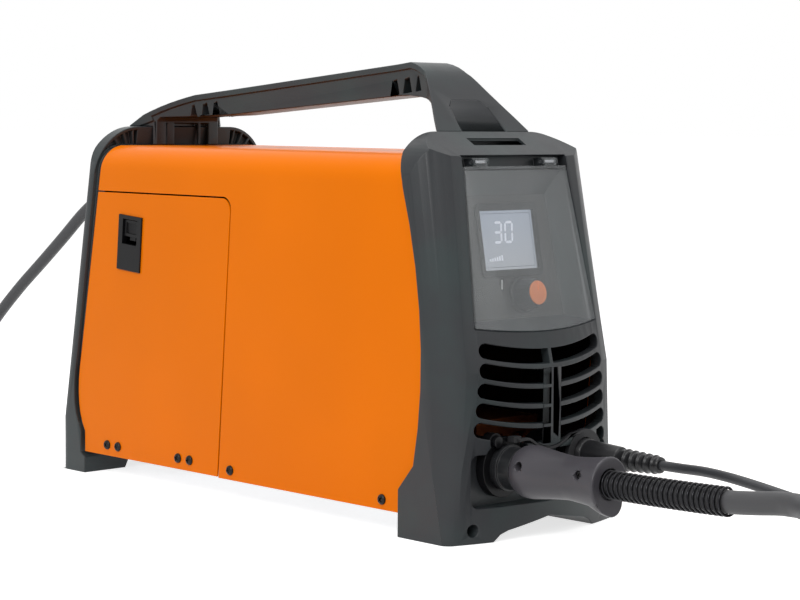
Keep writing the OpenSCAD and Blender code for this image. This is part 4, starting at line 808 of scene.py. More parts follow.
def softened(node: str, finish: Finishes, edge: float, crease: float = 35.0,
             flat: float = 0.8) -> bpy.types.Object:
    """A copy of a CAD node with rounded edges, which is shown in its place.

    The copy's triangles are merged, those in one plane become one face, and every edge sharper than
    the crease is rounded.

    Args:
        node: The CAD node.
        finish: Its finish.
        edge: Width of the rounding, in metres.
        crease: Edges sharper than this many degrees are rounded.
        flat: Faces within this many degrees of each other count as one plane.

    Returns:
        The copy.
    """
    source = frame["nodes"][node]
    mesh = source.data.copy()
    mesh.name = node + "_finished"
    work = bmesh.new()
    work.from_mesh(mesh)
    bmesh.ops.remove_doubles(work, verts=work.verts, dist=5e-6)
    bmesh.ops.dissolve_limit(work, angle_limit=math.radians(flat), verts=work.verts, edges=work.edges)
    work.to_mesh(mesh)
    work.free()
    copy = dress(bpy.data.objects.new(node + "_finished", mesh), finish, source["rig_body"], crease)
    rounding = copy.modifiers.new("rounded_edges", "BEVEL")
    rounding.width, rounding.segments = edge, 2
    rounding.limit_method, rounding.angle_limit = "ANGLE", math.radians(crease)
    rounding.use_clamp_overlap, rounding.harden_normals = False, True
    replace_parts(copy, node)
    return copy


def painted(node: str, finish: Finishes) -> bpy.types.Object:
    """A CAD node kept as it is, with its finish."""
    shown = frame["nodes"][node]
    coat(shown, finish.value.material())
    log.info("%s keeps its CAD shape", node)
    return shown


# ---- Screws ----


@dataclass(frozen=True)
class PanScrew:
    """A pan-headed screw with a cross recess; its local Z points out of the head.

    Args:
        radius: Radius of the head.
        height: Height of the head.
        shank: Length of the shank.
        shank_radius: Radius of the shank.
        recess: How far the cross reaches from the middle.
        slot: Half width of the cross.
        depth: Depth of the cross.
        steps: Points round.
    """

    radius: float
    height: float
    shank: float
    shank_radius: float = 0.0019
    recess: float = 0.0022
    slot: float = 0.00042
    depth: float = 0.0013
    steps: int = 40

    def shape(self) -> Shape:
        """The screw's surface.

        The head's height at radius r is that of a quarter ellipse, flattened over the middle, less
        the cross: its depth times a step across the slot times a step at the reach.

        Returns:
            The closed surface.
        """
        share = np.concatenate((np.linspace(1.0, 0.9, 4), np.linspace(0.84, 0.0, 17)))
        rim = 0.14
        rise = (1.0 - share ** 3.2) ** 0.55 * self.height * (1.0 - rim) + self.height * rim
        angle = np.linspace(0.0, TURN, self.steps, endpoint=False)
        r = share[:, None] * self.radius
        x, y = np.abs(r * np.cos(angle)), np.abs(r * np.sin(angle))
        arm = np.maximum(self.step(x, self.slot) * self.step(y, self.recess),
                         self.step(y, self.slot) * self.step(x, self.recess))
        top = np.stack((r * np.cos(angle), r * np.sin(angle), rise[:, None] - arm * self.depth), -1)
        low = [(0.0, -self.shank), (self.shank_radius, -self.shank), (self.shank_radius, 0.0),
               (self.radius, 0.0)]
        base = turned(low, self.steps).points.reshape(len(low), self.steps, 3)
        rows = np.concatenate((base, top))
        return Shape(rows.reshape(-1, 3), grid(len(rows), self.steps).tolist())

    @staticmethod
    def step(distance: Array, edge: float) -> Array:
        """1 inside the edge and 0 outside it, with a soft flank a quarter of a millimetre wide."""
        flank = 0.24 * MM
        t = np.clip((edge + flank / 2 - distance) / flank, 0.0, 1.0)
        return t * t * (3.0 - 2.0 * t)

    def at(self, name: str, body: str, spots: Sequence[Point], spin: float) -> bpy.types.Object:
        """Several screws that face -X, or +X on the right-hand half, as one piece.

        Args:
            name: The piece's name.
            body: The body that they ride on.
            spots: Where their heads bear.
            spin: Degrees by which each is turned on from the last.

        Returns:
            The piece.
        """
        def driven(number: int, spot: Point) -> Shape:
            """One screw in its place."""
            a = math.radians(12.0 + spin * number)
            way = (1.0 if spot[0] > 0 else -1.0, 0.0, 0.0)
            return self.shape().moved(Place.facing(spot, way, (0.0, math.sin(a), math.cos(a))))

        return merged(driven(k, spot) for k, spot in enumerate(spots)).piece(
            name, Finishes.SCREW, body)


# ---- Sub-assemblies ----


@dataclass
class SubAssembly:
    """A group of pieces; a sub-class lists its softened and plain CAD nodes and adds its own.

    Args:
        pieces: What it has built, by name.
    """

    pieces: dict[str, bpy.types.Object] = field(default_factory=dict)

    def soften(self, *rows: tuple[str, Finishes, float]) -> None:
        """Softened copies of CAD nodes: node, finish and width of the rounding in millimetres."""
        for node, finish, edge in rows:
            self.pieces[node] = softened(node, finish, edge * MM)

    def keep(self, *rows: tuple[str, Finishes]) -> None:
        """CAD nodes that keep their shape: node and finish."""
        for node, finish in rows:
            self.pieces[node] = painted(node, finish)

    def build(self) -> None:
        """Builds every piece of the sub-assembly."""
        raise NotImplementedError


@dataclass
class Housing(SubAssembly):
    """Sheet case, tray and rear panel, the moulded bezels and handle, and their screws."""

    case_face: float = CASE_FACE
    screw_z: float = 0.0254
    screw_ys: tuple[float, float] = (0.018, -0.158)
    screw: PanScrew = PanScrew(0.004, 0.0024, 0.008)

    def build(self) -> None:
        """Softens the case and the mouldings and turns the case screws."""
        self.soften(("case_cover", Finishes.CASE, 0.3), ("front_bezel", Finishes.BEZEL, 0.7),
                    ("rear_bezel", Finishes.BEZEL, 0.8), ("handle", Finishes.BEZEL, 0.8),
                    ("bezel_screws", Finishes.SCREW, 0.4))
        self.keep(("base_tray", Finishes.ZINC), ("rear_panel", Finishes.DARK_SHEET),
                  ("storage_tray", Finishes.DARK_SHEET))
        spots = [(side * self.case_face, y, self.screw_z) for side in (-1, 1) for y in self.screw_ys]
        heads = self.screw.at("case_screw_heads", "unit", spots, 31.0)
        self.pieces["case_screws"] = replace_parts(heads, "case_screws")


@dataclass
class Door(SubAssembly):
    """Side door with its hinges, screws and slide latch."""

    face: float = CASE_FACE
    hinge_ys: tuple[float, float] = (0.1737, 0.0772)
    screw_apart: float = 0.0075
    screw_z: float = 0.0274
    screw: PanScrew = PanScrew(0.004, 0.0024, 0.0039)

    def build(self) -> None:
        """Softens the door and latch, keeps the hinges and turns the door screws."""
        self.soften(("side_door", Finishes.ORANGE, 0.35), ("latch_housing", Finishes.BLACK, 0.4),
                    ("latch_slide", Finishes.BLACK, 0.3))
        self.keep(("hinge_leaves", Finishes.ZINC), ("door_leaves", Finishes.ZINC),
                  ("hinge_pins", Finishes.ZINC))
        spots = [(-self.face, y + side * self.screw_apart, self.screw_z)
                 for y in self.hinge_ys for side in (-1, 1)]
        heads = self.screw.at("door_screw_heads", "door", spots, 47.0)
        self.pieces["door_screws"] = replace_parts(heads, "door_screws")


@dataclass
class ControlFace(SubAssembly):
    """Leaning control panel with its display and knob, behind the hinged lens."""

    kink: Point = (0.0, -0.231, 0.125)
    tilt: float = math.radians(10.2)
    panel_depth: float = 0.016
    display_up: float = 0.0973
    window: tuple[float, float] = (0.059, 0.045)
    knob_at: tuple[float, float] = (0.007, 0.055)
    knob_radius: float = 0.014
    knob_height: float = 0.017
    flutes: int = 24
    digit: tuple[float, float] = (0.0076, 0.015)
    digit_ats: tuple[float, float] = (-0.0145, -0.0025)
    digit_foot: float = -0.0015
    bar: float = 0.0019
    bar_gap: float = 0.16
    slant: float = 0.12
    ink: float = 0.00005

    def plane(self, across: float, depth: float, up: float) -> Place:
        """A frame on the leaning face whose X is across, Y is up the slope and Z faces out.

        Args:
            across: X of its zero.
            depth: How far its zero lies behind the leaning plane's foot.
            up: How far up the slope its zero is.

        Returns:
            The frame.
        """
        slope = (0.0, math.sin(self.tilt), math.cos(self.tilt))
        out = (0.0, -math.cos(self.tilt), math.sin(self.tilt))
        origin = (np.asarray(self.kink) + np.array((across, 0.0, 0.0)) - depth * np.array(out)
                  + up * np.array(slope))
        return Place(tuple(origin), (1.0, 0.0, 0.0), slope, out)

    def knob(self) -> bpy.types.Object:
        """The fluted knob: a skirt, a tapering grip and a well for the cap."""
        r, h, m = self.knob_radius, self.knob_height, MM
        profile = [(0.0, 9.5 * m), (3.05 * m, 9.5 * m), (3.05 * m, 0.2 * m), (3.3 * m, 0.0),
                   (r - 0.4 * m, 0.0), (r, 0.4 * m), (r, 2.3 * m), (r - 0.15 * m, 2.8 * m),
                   (r - 0.6 * m, 3.15 * m),
                   (r - 1.3 * m, 3.3 * m), (r - 1.45 * m, 3.6 * m), (r - 1.6 * m, 5.0 * m),
                   (r - 2.3 * m, 9.0 * m), (r - 3.0 * m, 13.0 * m), (r - 3.5 * m, h - 0.8 * m),
                   (r - 3.7 * m, h - 0.25 * m), (r - 4.1 * m, h), (9.15 * m, h), (9.1 * m, h - 0.2 * m),
                   (9.1 * m, h - 1.6 * m), (0.0, h - 1.6 * m)]

        def flute(height: Array, angle: Array) -> Array:
            """Shallow flutes on the grip: minus a raised cosine of the angle times the count."""
            on_grip = (height > 4.0 * m) & (height < h - 0.5 * m)
            return -0.22 * m * (0.5 + 0.5 * np.cos(angle * self.flutes)) ** 2 * on_grip

        place = self.plane(self.knob_at[0], self.panel_depth - 0.3 * m, self.knob_at[1])
        return turned(profile, 6 * self.flutes, flute).moved(place).piece(
            "control_knob_turned", Finishes.COLLAR, "knob")

    def bars(self, lit: str, corner: Array) -> list[Shape]:
        """The bars of a seven-segment digit, each a pointed plate, leaning to the right.

        Args:
            lit: Letters of the bars, from a at the top, clockwise to f, and g across the middle.
            corner: The digit's lower left corner.

        Returns:
            One surface for each bar.
        """
        (width, height), bar = self.digit, self.bar
        ends = {"a": ((0, 2), (1, 2)), "b": ((1, 2), (1, 1)), "c": ((1, 1), (1, 0)),
                "d": ((0, 0), (1, 0)), "e": ((0, 0), (0, 1)), "f": ((0, 1), (0, 2)),
                "g": ((0, 1), (1, 1))}

        def one(name: str) -> Shape:
            """The bar with this letter."""
            a, b = (np.array((x * width, y * height / 2)) for x, y in ends[name])
            way = (b - a) / np.linalg.norm(b - a)
            across = np.array((-way[1], way[0])) * bar / 2
            a, b = a + way * bar * self.bar_gap, b - way * bar * self.bar_gap
            outline = np.array((a, a + way * bar / 2 + across, b - way * bar / 2 + across, b,
                                b - way * bar / 2 - across, a + way * bar / 2 - across))
            outline[:, 0] += outline[:, 1] * self.slant
            return plate(outline + corner, self.ink)

        return [one(name) for name in lit]

    def display_marks(self) -> None:
        """The lit number, a short gauge under it and the thin line round the display."""
        m = MM
        place = self.plane(0.0, self.panel_depth + 0.6 * m, self.display_up)
        three, zero = (self.bars(lit, np.array((x, self.digit_foot)))
                       for lit, x in zip(("abgcd", "abcdef"), self.digit_ats))

        def gauge(step: int) -> Shape:
            """One bar of the gauge, each taller than the last."""
            tall = 1.6 + 0.5 * step
            outline = np.array(((0.0, 0.0), (1.7, 0.0), (1.7, tall), (0.0, tall)))
            return plate((outline + np.array((-22.0 + 2.6 * step, -15.5))) * m, self.ink)

        marks = merged((*three, *zero, *(gauge(k) for k in range(6)))).moved(place)
        self.pieces["number"] = marks.piece("display_number", Finishes.DISPLAY_INK, "unit")
        wide, high = (size / 2 - 2.0 * m for size in self.window)

        def strip(reach: float, out: float) -> Array:
            """A strip across the middle, out from it and as long as twice the reach."""
            low = out - 0.35 * m
            return np.array(((-reach, low), (reach, low), (reach, out), (-reach, out)))

        level, upright = strip(wide, high), strip(high, wide)[:, ::-1]
        line = merged(plate(one, 0.04 * m) for one in (level, -level, upright, -upright))
        self.pieces["line"] = line.moved(place).piece("display_line", Finishes.DISPLAY_LINE, "unit")

    def tick(self) -> bpy.types.Object:
        """The white index mark beside the knob."""
        m = MM
        place = self.plane(-12.5 * m, self.panel_depth, 63.8 * m)
        outline = np.array(((-1.2, -3.4), (0.1, -3.7), (1.2, 3.4), (-0.1, 3.7))) * m
        return plate(outline, 0.08 * m).moved(place).piece("index_mark", Finishes.WHITE_INK, "unit")

    def build(self) -> None:
        """Dresses the panel and lens and makes the knob and the display's marks."""
        low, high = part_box("display_screen")
        display = BacklitDisplay("backlit_display", "display_glass", (169, 176, 190), low.z, high.z)
        self.soften(("control_panel", Finishes.PANEL, 0.25), ("display_frame", Finishes.COLLAR, 0.5),
                    ("knob_cap", Finishes.TRIM, 0.3), ("lens_cover", Finishes.LENS, 0.35))
        self.keep(("control_board", Finishes.BOARD), ("control_encoder", Finishes.BRASS),
                  ("lens_pins", Finishes.ZINC))
        screen = self.pieces["display_screen"] = frame["nodes"]["display_screen"]
        coat(screen, display.material())
        self.pieces["control_knob"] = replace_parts(self.knob(), "control_knob")
        self.display_marks()
        self.pieces["tick"] = self.tick()


@dataclass
class Sockets(SubAssembly):
    """Torch socket with its release button, the cap strap, the work socket and the torch plug."""

    torch_at: tuple[float, float] = (-0.0414, 0.054)
    plug_front: float = -0.254
    screw_from_front: tuple[float, float] = (0.012, 0.066)
    screw_out: float = 0.0126
    screw_up: float = 0.006
    screw: PanScrew = PanScrew(0.0029, 0.0016, 0.0006, 0.0015, 0.0019, 0.0004, 0.0011)

    def build(self) -> None:
        """Softens the sockets and the plug and turns the plug's screws."""
        self.soften(("torch_socket", Finishes.BLACK, 0.5), ("socket_latch", Finishes.BLACK, 0.5),
                    ("socket_strap", Finishes.RUBBER, 0.4), ("work_socket", Finishes.BLACK, 0.5),
                    ("torch_plug_collar", Finishes.COLLAR, 0.5),
                    ("torch_plug_body", Finishes.PLUG, 0.7))
        x, z = self.torch_at
        spots = [(x - self.screw_out, self.plug_front - y, z + self.screw_up)
                 for y in self.screw_from_front]
        heads = self.screw.at("plug_screw_heads", "unit", spots, 24.0)
        self.pieces["torch_plug_screws"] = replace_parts(heads, "torch_plug_screws")


# ---- Cords ----


@dataclass(frozen=True)
class Coil:
    """A cord wound in piled layers, from the top layer down.

    Args:
        centre: X and Y of its middle.
        radius: Radius of its outer turn.
        start: Degrees where it begins.
        turns: Turns in a layer.
        layers: Number of layers.
        diameter: The cord's diameter.
        tail: Straight run after the last turn.
        gap: Least gap between turns.
        floor_gap: Gap under the lowest turn.
        per_turn: Points in a turn.
    """

    centre: tuple[float, float]
    radius: float
    start: float
    turns: float
    layers: int
    diameter: float
    tail: float
    gap: float = 0.0008
    floor_gap: float = 0.0001
    per_turn: int = 48

    def points(self) -> Array:
        """Points along the cord.

        In each layer the radius shrinks or grows at a steady rate, and over the half turn at the
        end of a layer, where the spiral reverses, the cord eases down one layer and swings out a
        sixth of its diameter.

        Returns:
            The coil with one diameter of straight cord before it and its tail after it.
        """
        m, d, last = self.turns, self.diameter, self.layers - 1
        step, drop = d + self.gap * 1.5, d + self.gap
        u = np.linspace(0.0, m * self.layers, int(self.per_turn * m * self.layers) + 1)
        layer = np.minimum(np.floor(u / m + 0.0001), last)
        f = u - layer * m
        above = layer < last
        turn = np.where(above, np.maximum(0.0, (f - m + 0.5) * 2), 0.0)
        run = np.where(above, np.minimum(f, m - 0.5), f)
        lift = 0.16 * d * np.sin(math.pi * turn)
        inner = self.radius - step * (m - 0.5)
        r = np.where(layer % 2 == 0, self.radius - step * run - lift, inner + step * run + lift)
        z = d / 2 + self.floor_gap + drop * (last - layer - turn * turn * (3 - 2 * turn))
        angle = np.radians(self.start) + TURN * u
        path = np.stack((self.centre[0] + r * np.cos(angle), self.centre[1] + r * np.sin(angle), z), -1)
        ways = np.stack((-np.sin(angle), np.cos(angle), np.zeros_like(angle)), -1)
        return np.concatenate(([path[0] - ways[0] * d], path, [path[-1] + ways[-1] * self.tail]))


def smooth(route: Array, steps: int = 6, straight: float = 0.002) -> Array:
    """A smooth curve through listed points, straight for a moment at either end.

    Each span is the cubic through its two points whose slopes are half the way between the points
    on either side.

    Args:
        route: The points.
        steps: Points on a span.
        straight: Length of the straight runs.

    Returns:
        The curve's points.
    """
    padded = np.concatenate((route[:1], route, route[-1:]))
    p0, p1, p2, p3 = (padded[i:len(padded) - 3 + i, None] for i in range(4))
    t = (np.arange(steps) / steps)[None, :, None]
    curve = 0.5 * (2 * p1 + (p2 - p0) * t + (2 * p0 - 5 * p1 + 4 * p2 - p3) * t * t
                   + (3 * p1 - p0 - 3 * p2 + p3) * t ** 3)
    first, last = unit(route[1] - route[0]) * straight, unit(route[-1] - route[-2]) * straight
    return np.concatenate(([route[0], route[0] + first], curve.reshape(-1, 3)[2:],
                           [route[-1] - last, route[-1]]))


def joined(*runs: Array, least: float = 0.0004) -> Array:
    """Runs of points as one path, without points that nearly coincide."""
    path = np.concatenate(runs)
    keep = np.concatenate(([True], np.linalg.norm(np.diff(path, axis=0), axis=1) > least))
    return path[keep]


@dataclass
class TorchLead(SubAssembly):
    """Torch lead with its strain relief spring, its coil and the hand torch."""

    diameter: float = 0.016
    axis_x: float = -0.0414
    axis_z: float = 0.054
    leaves_at: float = -0.333
    spring_from: float = -0.3334
    spring_to: float = -0.4434
    spring_turns: int = 24
    wire: float = 0.002
    spring_gap: float = 0.00045
    coil: Coil = Coil((-0.004, -0.612), 0.100, 200.0, 2.5035, 4, 0.016, 0.0)
    climb_radius: float = 0.1172
    climb_turn: float = 195.0
    climb_rise: float = 0.0672
    over_radius: float = 0.080
    held: tuple[float, ...] = (-0.333, -0.353, -0.375, -0.397, -0.419, -0.442)
    free: tuple[Point, ...] = (
        (-0.041, -0.461, 0.0573), (-0.0405, -0.480, 0.0596), (-0.042, -0.491, 0.0604),
        (-0.046, -0.502, 0.061), (-0.060, -0.522, 0.0615), (-0.0725, -0.5345, 0.061),
        (-0.0849, -0.547, 0.0603), (-0.0976, -0.5636, 0.0593), (-0.1056, -0.5829, 0.0587),
        (-0.1083, -0.6036, 0.0585), (-0.1071, -0.6175, 0.0585), (-0.1049, -0.6271, 0.0585),
        (-0.10344, -0.63117, 0.0585))

    def axis_height(self, y: Array) -> Array:
        """Height of the lead inside the spring: level, then rising as the square of the way out."""
        way = np.maximum(0.0, self.leaves_at - 0.020 - y) / 0.090
        return self.axis_z + 0.0016 * way ** 2

    def path(self) -> Array:
        """The lead's whole centreline, from the plug through the coil to the hand torch."""
        held = np.array(self.held)
        inside = np.stack((np.full_like(held, self.axis_x), held, self.axis_height(held)), -1)
        led = smooth(np.concatenate((inside, np.array(self.free))))
        return joined(led, self.coil.points(), self.climb())

    def climb(self) -> Array:
        """The way from the floor up the coil's side and over its top to the hand torch.

        The cord goes on round the coil at a slightly larger radius, eases up its side, and then
        turns in over the top on a circle that touches the one it leaves.

        Returns:
            The centreline after the coil's last turn.
        """
        coil = self.coil
        first = coil.radius + coil.diameter / 2 + coil.gap * 0.75
        start = coil.start + 360.0 * coil.turns * coil.layers
        a = np.linspace(0.0, self.climb_turn, 60)[1:]
        swung_out_by, climbs_from = 55.0, 50.0
        out = np.minimum(1.0, a / swung_out_by)
        up = np.maximum(0.0, a - climbs_from) / (self.climb_turn - climbs_from)
        r = first + (self.climb_radius - first) * out * out * (3 - 2 * out)
        z = coil.diameter / 2 + coil.floor_gap + self.climb_rise * up * up * (3 - 2 * up)
        turn = np.radians(start + a)
        middle = np.array((*coil.centre, 0.0))
        rise = middle + np.stack((r * np.cos(turn), r * np.sin(turn), z), -1)
        last = start + self.climb_turn
        reach, way = self.climb_radius - self.over_radius, math.radians(last)
        hub = middle + reach * np.array((math.cos(way), math.sin(way), 0.0))
        b = np.radians(np.linspace(last % 360.0, 180.0, 40)[1:])
        over = hub + np.stack((self.over_radius * np.cos(b), self.over_radius * np.sin(b),
                               np.full_like(b, z[-1])), -1)
        return np.concatenate((rise, over, [over[-1] - np.array((0.0, 0.002, 0.0))]))

    def spring(self) -> bpy.types.Object:
        """The strain relief spring.

        Its wire goes round the lead's axis at one radius while it moves along it, one pitch a turn,
        and its two ends are straight for one wire's width.

        Returns:
            The piece.
        """
        radius = self.diameter / 2 + self.spring_gap + self.wire / 2
        per_turn = 30
        share = np.linspace(0.0, 1.0, self.spring_turns * per_turn + 1)
        y = self.spring_from - self.wire + (self.spring_to - self.spring_from + 2 * self.wire) * share
        angle = TURN * self.spring_turns * share
        out = np.stack((np.cos(angle), np.zeros_like(angle), np.sin(angle)), -1)
        centre = np.stack((np.full_like(y, self.axis_x), y, self.axis_height(y)), -1)
        body = centre + radius * out
        end = np.array((0.0, self.wire, 0.0))
        path = np.concatenate(([body[0] + end], body, [body[-1] - end]))
        facing = np.concatenate((out[:1], out, out[-1:]))
        return carried(path, self.wire / 2, 10, facing).piece(
            "strain_relief_spring", Finishes.SPRING, "unit")

    def build(self) -> None:
        """Makes the lead and spring and dresses the hand torch."""
        path = self.path()
        lead = carried(path, self.diameter / 2, 18).piece(
            "torch_lead_jacket", Finishes.TORCH_CORD, "unit")
        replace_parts(lead, "torch_lead", "torch_coil")
        self.pieces["spring"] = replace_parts(self.spring(), "torch_spring")
        self.soften(("torch_trigger", Finishes.TRIM, 0.3), ("torch_safety", Finishes.TRIM, 0.3))
        self.keep(("torch_handle", Finishes.BLACK), ("torch_head", Finishes.BLACK),
                  ("torch_cup", Finishes.COPPER))


@dataclass
class WorkLead(SubAssembly):
    """Work lead with its ribbed plug, its coil and the earth clamp."""

    diameter: float = 0.0075
    exit: Point = (0.040, -0.3156, 0.0565)
    coil: Coil = Coil((0.097, -0.470), 0.051, 270.0, 2.25, 4, 0.0075, 0.0075)
    route: tuple[Point, ...] = (
        (0.040, -0.3156, 0.0565), (0.040, -0.336, 0.0565), (0.036, -0.361, 0.0575),
        (0.031, -0.387, 0.057), (0.029, -0.412, 0.0545), (0.030, -0.437, 0.0505),
        (0.033, -0.461, 0.046), (0.040, -0.485, 0.041), (0.052, -0.504, 0.0365),
        (0.068, -0.517, 0.032), (0.080, -0.521, 0.02875), (0.0895, -0.521, 0.02875))
    tail: tuple[Point, ...] = (
        (0.1045, -0.52535, 0.00385), (0.113, -0.52535, 0.00385), (0.124, -0.531, 0.00385),
        (0.131, -0.546, 0.00385), (0.133, -0.566, 0.00385), (0.133, -0.600, 0.00385),
        (0.1275, -0.640, 0.00385), (0.107, -0.690, 0.00385), (0.070, -0.7245, 0.00385),
        (0.050, -0.735, 0.00385), (0.038, -0.741, 0.00385), (0.029, -0.744, 0.00385),
        (0.021, -0.744, 0.00385))
    plug_front: float = -0.2356
    ribs: int = 5

    def plug(self) -> bpy.types.Object:
        """The plug: a flanged barrel, a stepped sleeve and a ribbed tail.

        Along the tail the radius falls steadily, and each rib stands proud by a raised cosine.

        Returns:
            The piece.
        """
        m = MM
        place = Place((self.exit[0], self.plug_front, self.exit[2]), (1.0, 0.0, 0.0), (0.0, 0.0, 1.0),
                      (0.0, -1.0, 0.0))
        ribs_from, ribs_to, apart = 47.0, 80.0, 6.5
        along = np.linspace(ribs_from, ribs_to, 100)
        rib = 0.5 - 0.5 * np.cos(TURN * np.clip((along - ribs_from) / apart, 0.0, self.ribs))
        tail = 7.75 - (along - 44.0) / 38.0 * 1.6 + rib ** 3 * (1.15 - (along - ribs_from) * 0.01)
        profile = [(0.0, -23.5), (4.3, -23.5), (4.8, -23.0), (4.8, 0.02), (11.6, 0.02), (12.0, 0.45),
                   (12.0, 11.4), (11.6, 11.9), (11.15, 12.2), (11.1, 13.0), (9.4, 42.6), (9.0, 43.7),
                   (8.4, 44.0), (7.75, 44.3), *zip(tail, along), (6.0, 81.4), (5.4, 81.95),
                   (3.85, 82.0), (3.8, 79.0), (0.0, 79.0)]
        return turned([(r * m, h * m) for r, h in profile], 48).moved(place).piece(
            "work_plug_boot", Finishes.BOOT, "unit")

    def build(self) -> None:
        """Makes the lead and its plug and dresses the clamp."""
        path = joined(smooth(np.array(self.route)), self.coil.points(), smooth(np.array(self.tail)))
        lead = carried(path, self.diameter / 2, 12).piece(
            "work_lead_jacket", Finishes.THIN_CORD, "unit")
        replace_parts(lead, "work_lead", "work_coil", "work_tail")
        self.pieces["work_plug"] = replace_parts(self.plug(), "work_plug")
        self.soften(("clamp_jaw_fixed", Finishes.ZINC, 0.3), ("clamp_jaw_moving", Finishes.ZINC, 0.3),
                    ("clamp_pin", Finishes.ZINC, 0.3))


@dataclass
class MainsLead(SubAssembly):
    """Mains lead with its gland, its coil and its plug."""

    diameter: float = 0.0105
    exit: Point = (-0.040, 0.234, 0.238)
    coil: Coil = Coil((-0.055, 0.5394), 0.064, 30.0, 1.71875, 4, 0.0105, 0.0105)
    route: tuple[Point, ...] = (
        (-0.040, 0.234, 0.238), (-0.040, 0.256, 0.236), (-0.040, 0.283, 0.2215),
        (-0.040, 0.316, 0.197), (-0.040, 0.349, 0.173), (-0.040, 0.384, 0.148),
        (-0.040, 0.418, 0.121), (-0.0375, 0.443, 0.1005), (-0.0305, 0.470, 0.0815),
        (-0.020, 0.496, 0.066), (-0.0065, 0.5195, 0.055), (0.0045, 0.5334, 0.050),
        (0.008, 0.5444, 0.046), (0.009, 0.5524, 0.0413), (0.00767, 0.55884, 0.03935),
        (0.00567, 0.5623, 0.03925))

    def build(self) -> None:
        """Makes the lead and dresses its gland and plug."""
        path = joined(smooth(np.array(self.route)), self.coil.points())
        lead = carried(path, self.diameter / 2, 14).piece(
            "mains_lead_jacket", Finishes.THIN_CORD, "unit")
        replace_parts(lead, "mains_lead", "mains_coil")
        self.soften(("mains_gland", Finishes.BLACK, 0.4), ("mains_plug", Finishes.BLACK, 0.8))


@dataclass
class RearAndInside(SubAssembly):
    """Switch, air inlet and fan at the rear, and what stands inside the case."""

    def build(self) -> None:
        """Softens what shows at the rear and finishes the inner pieces."""
        self.soften(("switch_frame", Finishes.BLACK, 0.4), ("power_switch", Finishes.SWITCH, 0.5),
                    ("air_inlet", Finishes.BRASS, 0.25))
        self.keep(("fan_frame", Finishes.BLACK), ("fan_rotor", Finishes.BLACK),
                  ("power_module", Finishes.HEAT_SINK), ("transformer", Finishes.WINDING),
                  ("air_valve", Finishes.BRASS))


# ---- Camera, floor and light ----


@dataclass(frozen=True)
class Camera:
    """The camera, set by its place, its turn and its reach.

    Args:
        place: Where it stands.
        heading: Degrees from +Y towards +X; a negative one looks towards -X.
        dip: Degrees that it looks down.
        roll: Degrees that it is rolled.
        reach: Focal length in picture widths.
        film: Width of the film.
    """

    place: Point = (-1.20787, -1.31769, 0.30997)
    heading: float = 44.348
    dip: float = 4.807
    roll: float = 0.566
    reach: float = 2.7311
    film: float = 36.0

    def build(self) -> None:
        """Makes the camera and sets it as the scene's."""
        h, d, r = (math.radians(x) for x in (self.heading, self.dip, self.roll))
        ahead = np.array((math.sin(h) * math.cos(d), math.cos(h) * math.cos(d), -math.sin(d)))
        level = np.array((math.cos(h), -math.sin(h), 0.0))
        top = np.cross(level, ahead)
        right = math.cos(r) * level + math.sin(r) * top
        up = -math.sin(r) * level + math.cos(r) * top
        data = bpy.data.cameras.new("camera")
        data.sensor_width, data.lens = self.film, self.reach * self.film
        data.clip_start, data.clip_end = 0.05, 100.0
        camera = bpy.data.objects.new("camera", data)
        bpy.context.scene.collection.objects.link(camera)
        camera.matrix_world = Place(self.place, tuple(right), tuple(up), tuple(-ahead)).matrix()
        bpy.context.scene.camera = camera


@dataclass(frozen=True)
class Softbox:
    """A square lamp.

    Args:
        name: Its name.
        place: Where it hangs.
        aim: The point that it faces.
        size: Its width and height.
        power: Its power in watts.
    """

    name: str
    place: Point
    aim: Point
    size: tuple[float, float]
    power: float

    def build(self) -> None:
        """Hangs the lamp."""
        data = bpy.data.lights.new(self.name, "AREA")
        data.shape, data.energy = "RECTANGLE", self.power
        data.size, data.size_y = self.size
        lamp = bpy.data.objects.new(self.name, data)
        bpy.context.scene.collection.objects.link(lamp)
        back = tuple(np.array(self.place) - np.array(self.aim))
        lamp.matrix_world = Place.facing(self.place, back, UP).matrix()


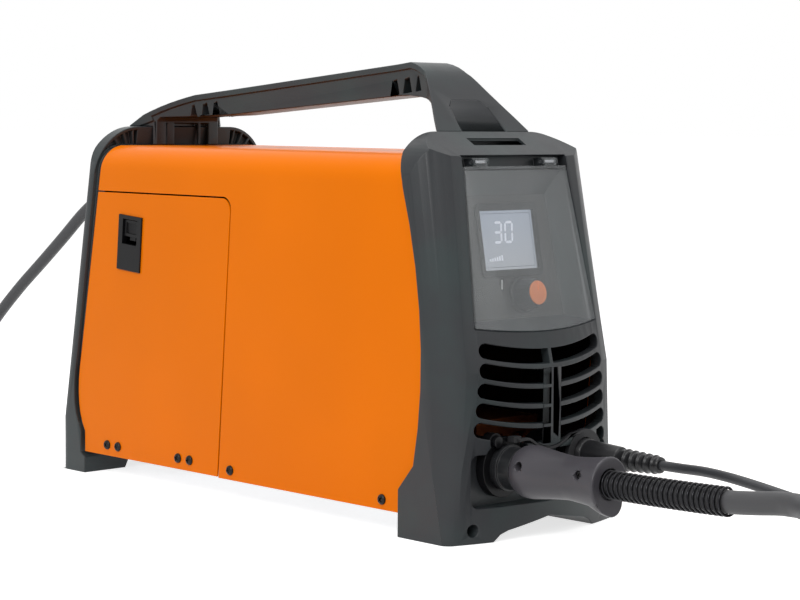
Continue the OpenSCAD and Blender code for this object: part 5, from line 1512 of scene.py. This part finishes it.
@dataclass
class Studio:
    """White surroundings, a pale floor and soft lamps.

    Args:
        ambient: Strength of the surroundings on matt surfaces.
        reach: Half width of the floor.
        floor_tone: The floor's linear tone.
        floor_lift: Extra light of the floor as the camera and reflections see it.
    """

    ambient: float = 0.42
    reach: float = 30.0
    floor_tone: float = 0.8
    floor_lift: float = 0.72
    lamps: tuple[Softbox, ...] = (
        Softbox("key_lamp", (-2.4, -1.2, 2.0), (0.0, 0.0, 0.15), (1.6, 1.2), 40.0),
        Softbox("top_lamp", (-0.1, 0.1, 2.1), (0.0, 0.0, 0.3), (1.8, 1.0), 16.0),
        Softbox("front_lamp", (0.9, -2.6, 1.5), (0.0, -0.2, 0.15), (0.9, 1.1), 4.0),
    )

    @staticmethod
    def seen(tree: Tree) -> Value:
        """1 for rays from the camera, a reflection or through glass, and 0 for the rest."""
        path = tree.add("ShaderNodeLightPath")
        names = ("Is Camera Ray", "Is Glossy Ray", "Is Transmission Ray")
        return functools.reduce(Value.at_least, (Value(tree, path.outputs[name]) for name in names))

    def build(self) -> None:
        """Sets the world, the floor and the lamps."""
        scene = bpy.context.scene
        scene.view_settings.view_transform = "Standard"
        world = bpy.data.worlds.new("studio")
        scene.world = world
        world.use_nodes = True
        tree = Tree(world.node_tree)
        strength = self.seen(tree) * (1.0 - self.ambient) + self.ambient
        light = tree.add("ShaderNodeBackground", None, {"Color": (1.0, 1.0, 1.0), "Strength": strength})
        tree.add("ShaderNodeOutputWorld", None, {"Surface": light.outputs[0]})
        r = self.reach
        mesh = bpy.data.meshes.new("floor")
        mesh.from_pydata([(-r, -r, 0.0), (r, -r, 0.0), (r, r, 0.0), (-r, r, 0.0)], [], [(0, 1, 2, 3)])
        floor = bpy.data.objects.new("floor", mesh)
        scene.collection.objects.link(floor)
        material = bpy.data.materials.new("pale_floor")
        material.use_nodes = True
        mesh.materials.append(material)
        tree = Tree(material.node_tree)
        matt = tree.add("ShaderNodeBsdfDiffuse", None, {"Color": (self.floor_tone,) * 3})
        glow = tree.add("ShaderNodeEmission", None, {"Strength": self.seen(tree) * self.floor_lift})
        both = tree.add("ShaderNodeAddShader", None, {0: matt.outputs[0], 1: glow.outputs[0]})
        tree.add("ShaderNodeOutputMaterial", None, {"Surface": both.outputs[0]})
        for lamp in self.lamps:
            lamp.build()


def main() -> None:
    """Builds the camera, the cords, every sub-assembly and the studio."""
    logging.basicConfig(level=logging.INFO, format="%(message)s")
    Camera().build()
    groups = (TorchLead(), WorkLead(), MainsLead(), Housing(), Door(), ControlFace(), Sockets(),
              RearAndInside())
    for group in groups:
        group.build()
        log.info("%s: %d pieces", type(group).__name__, len(group.pieces))
    Studio().build()


if __name__ == "__main__":
    main()
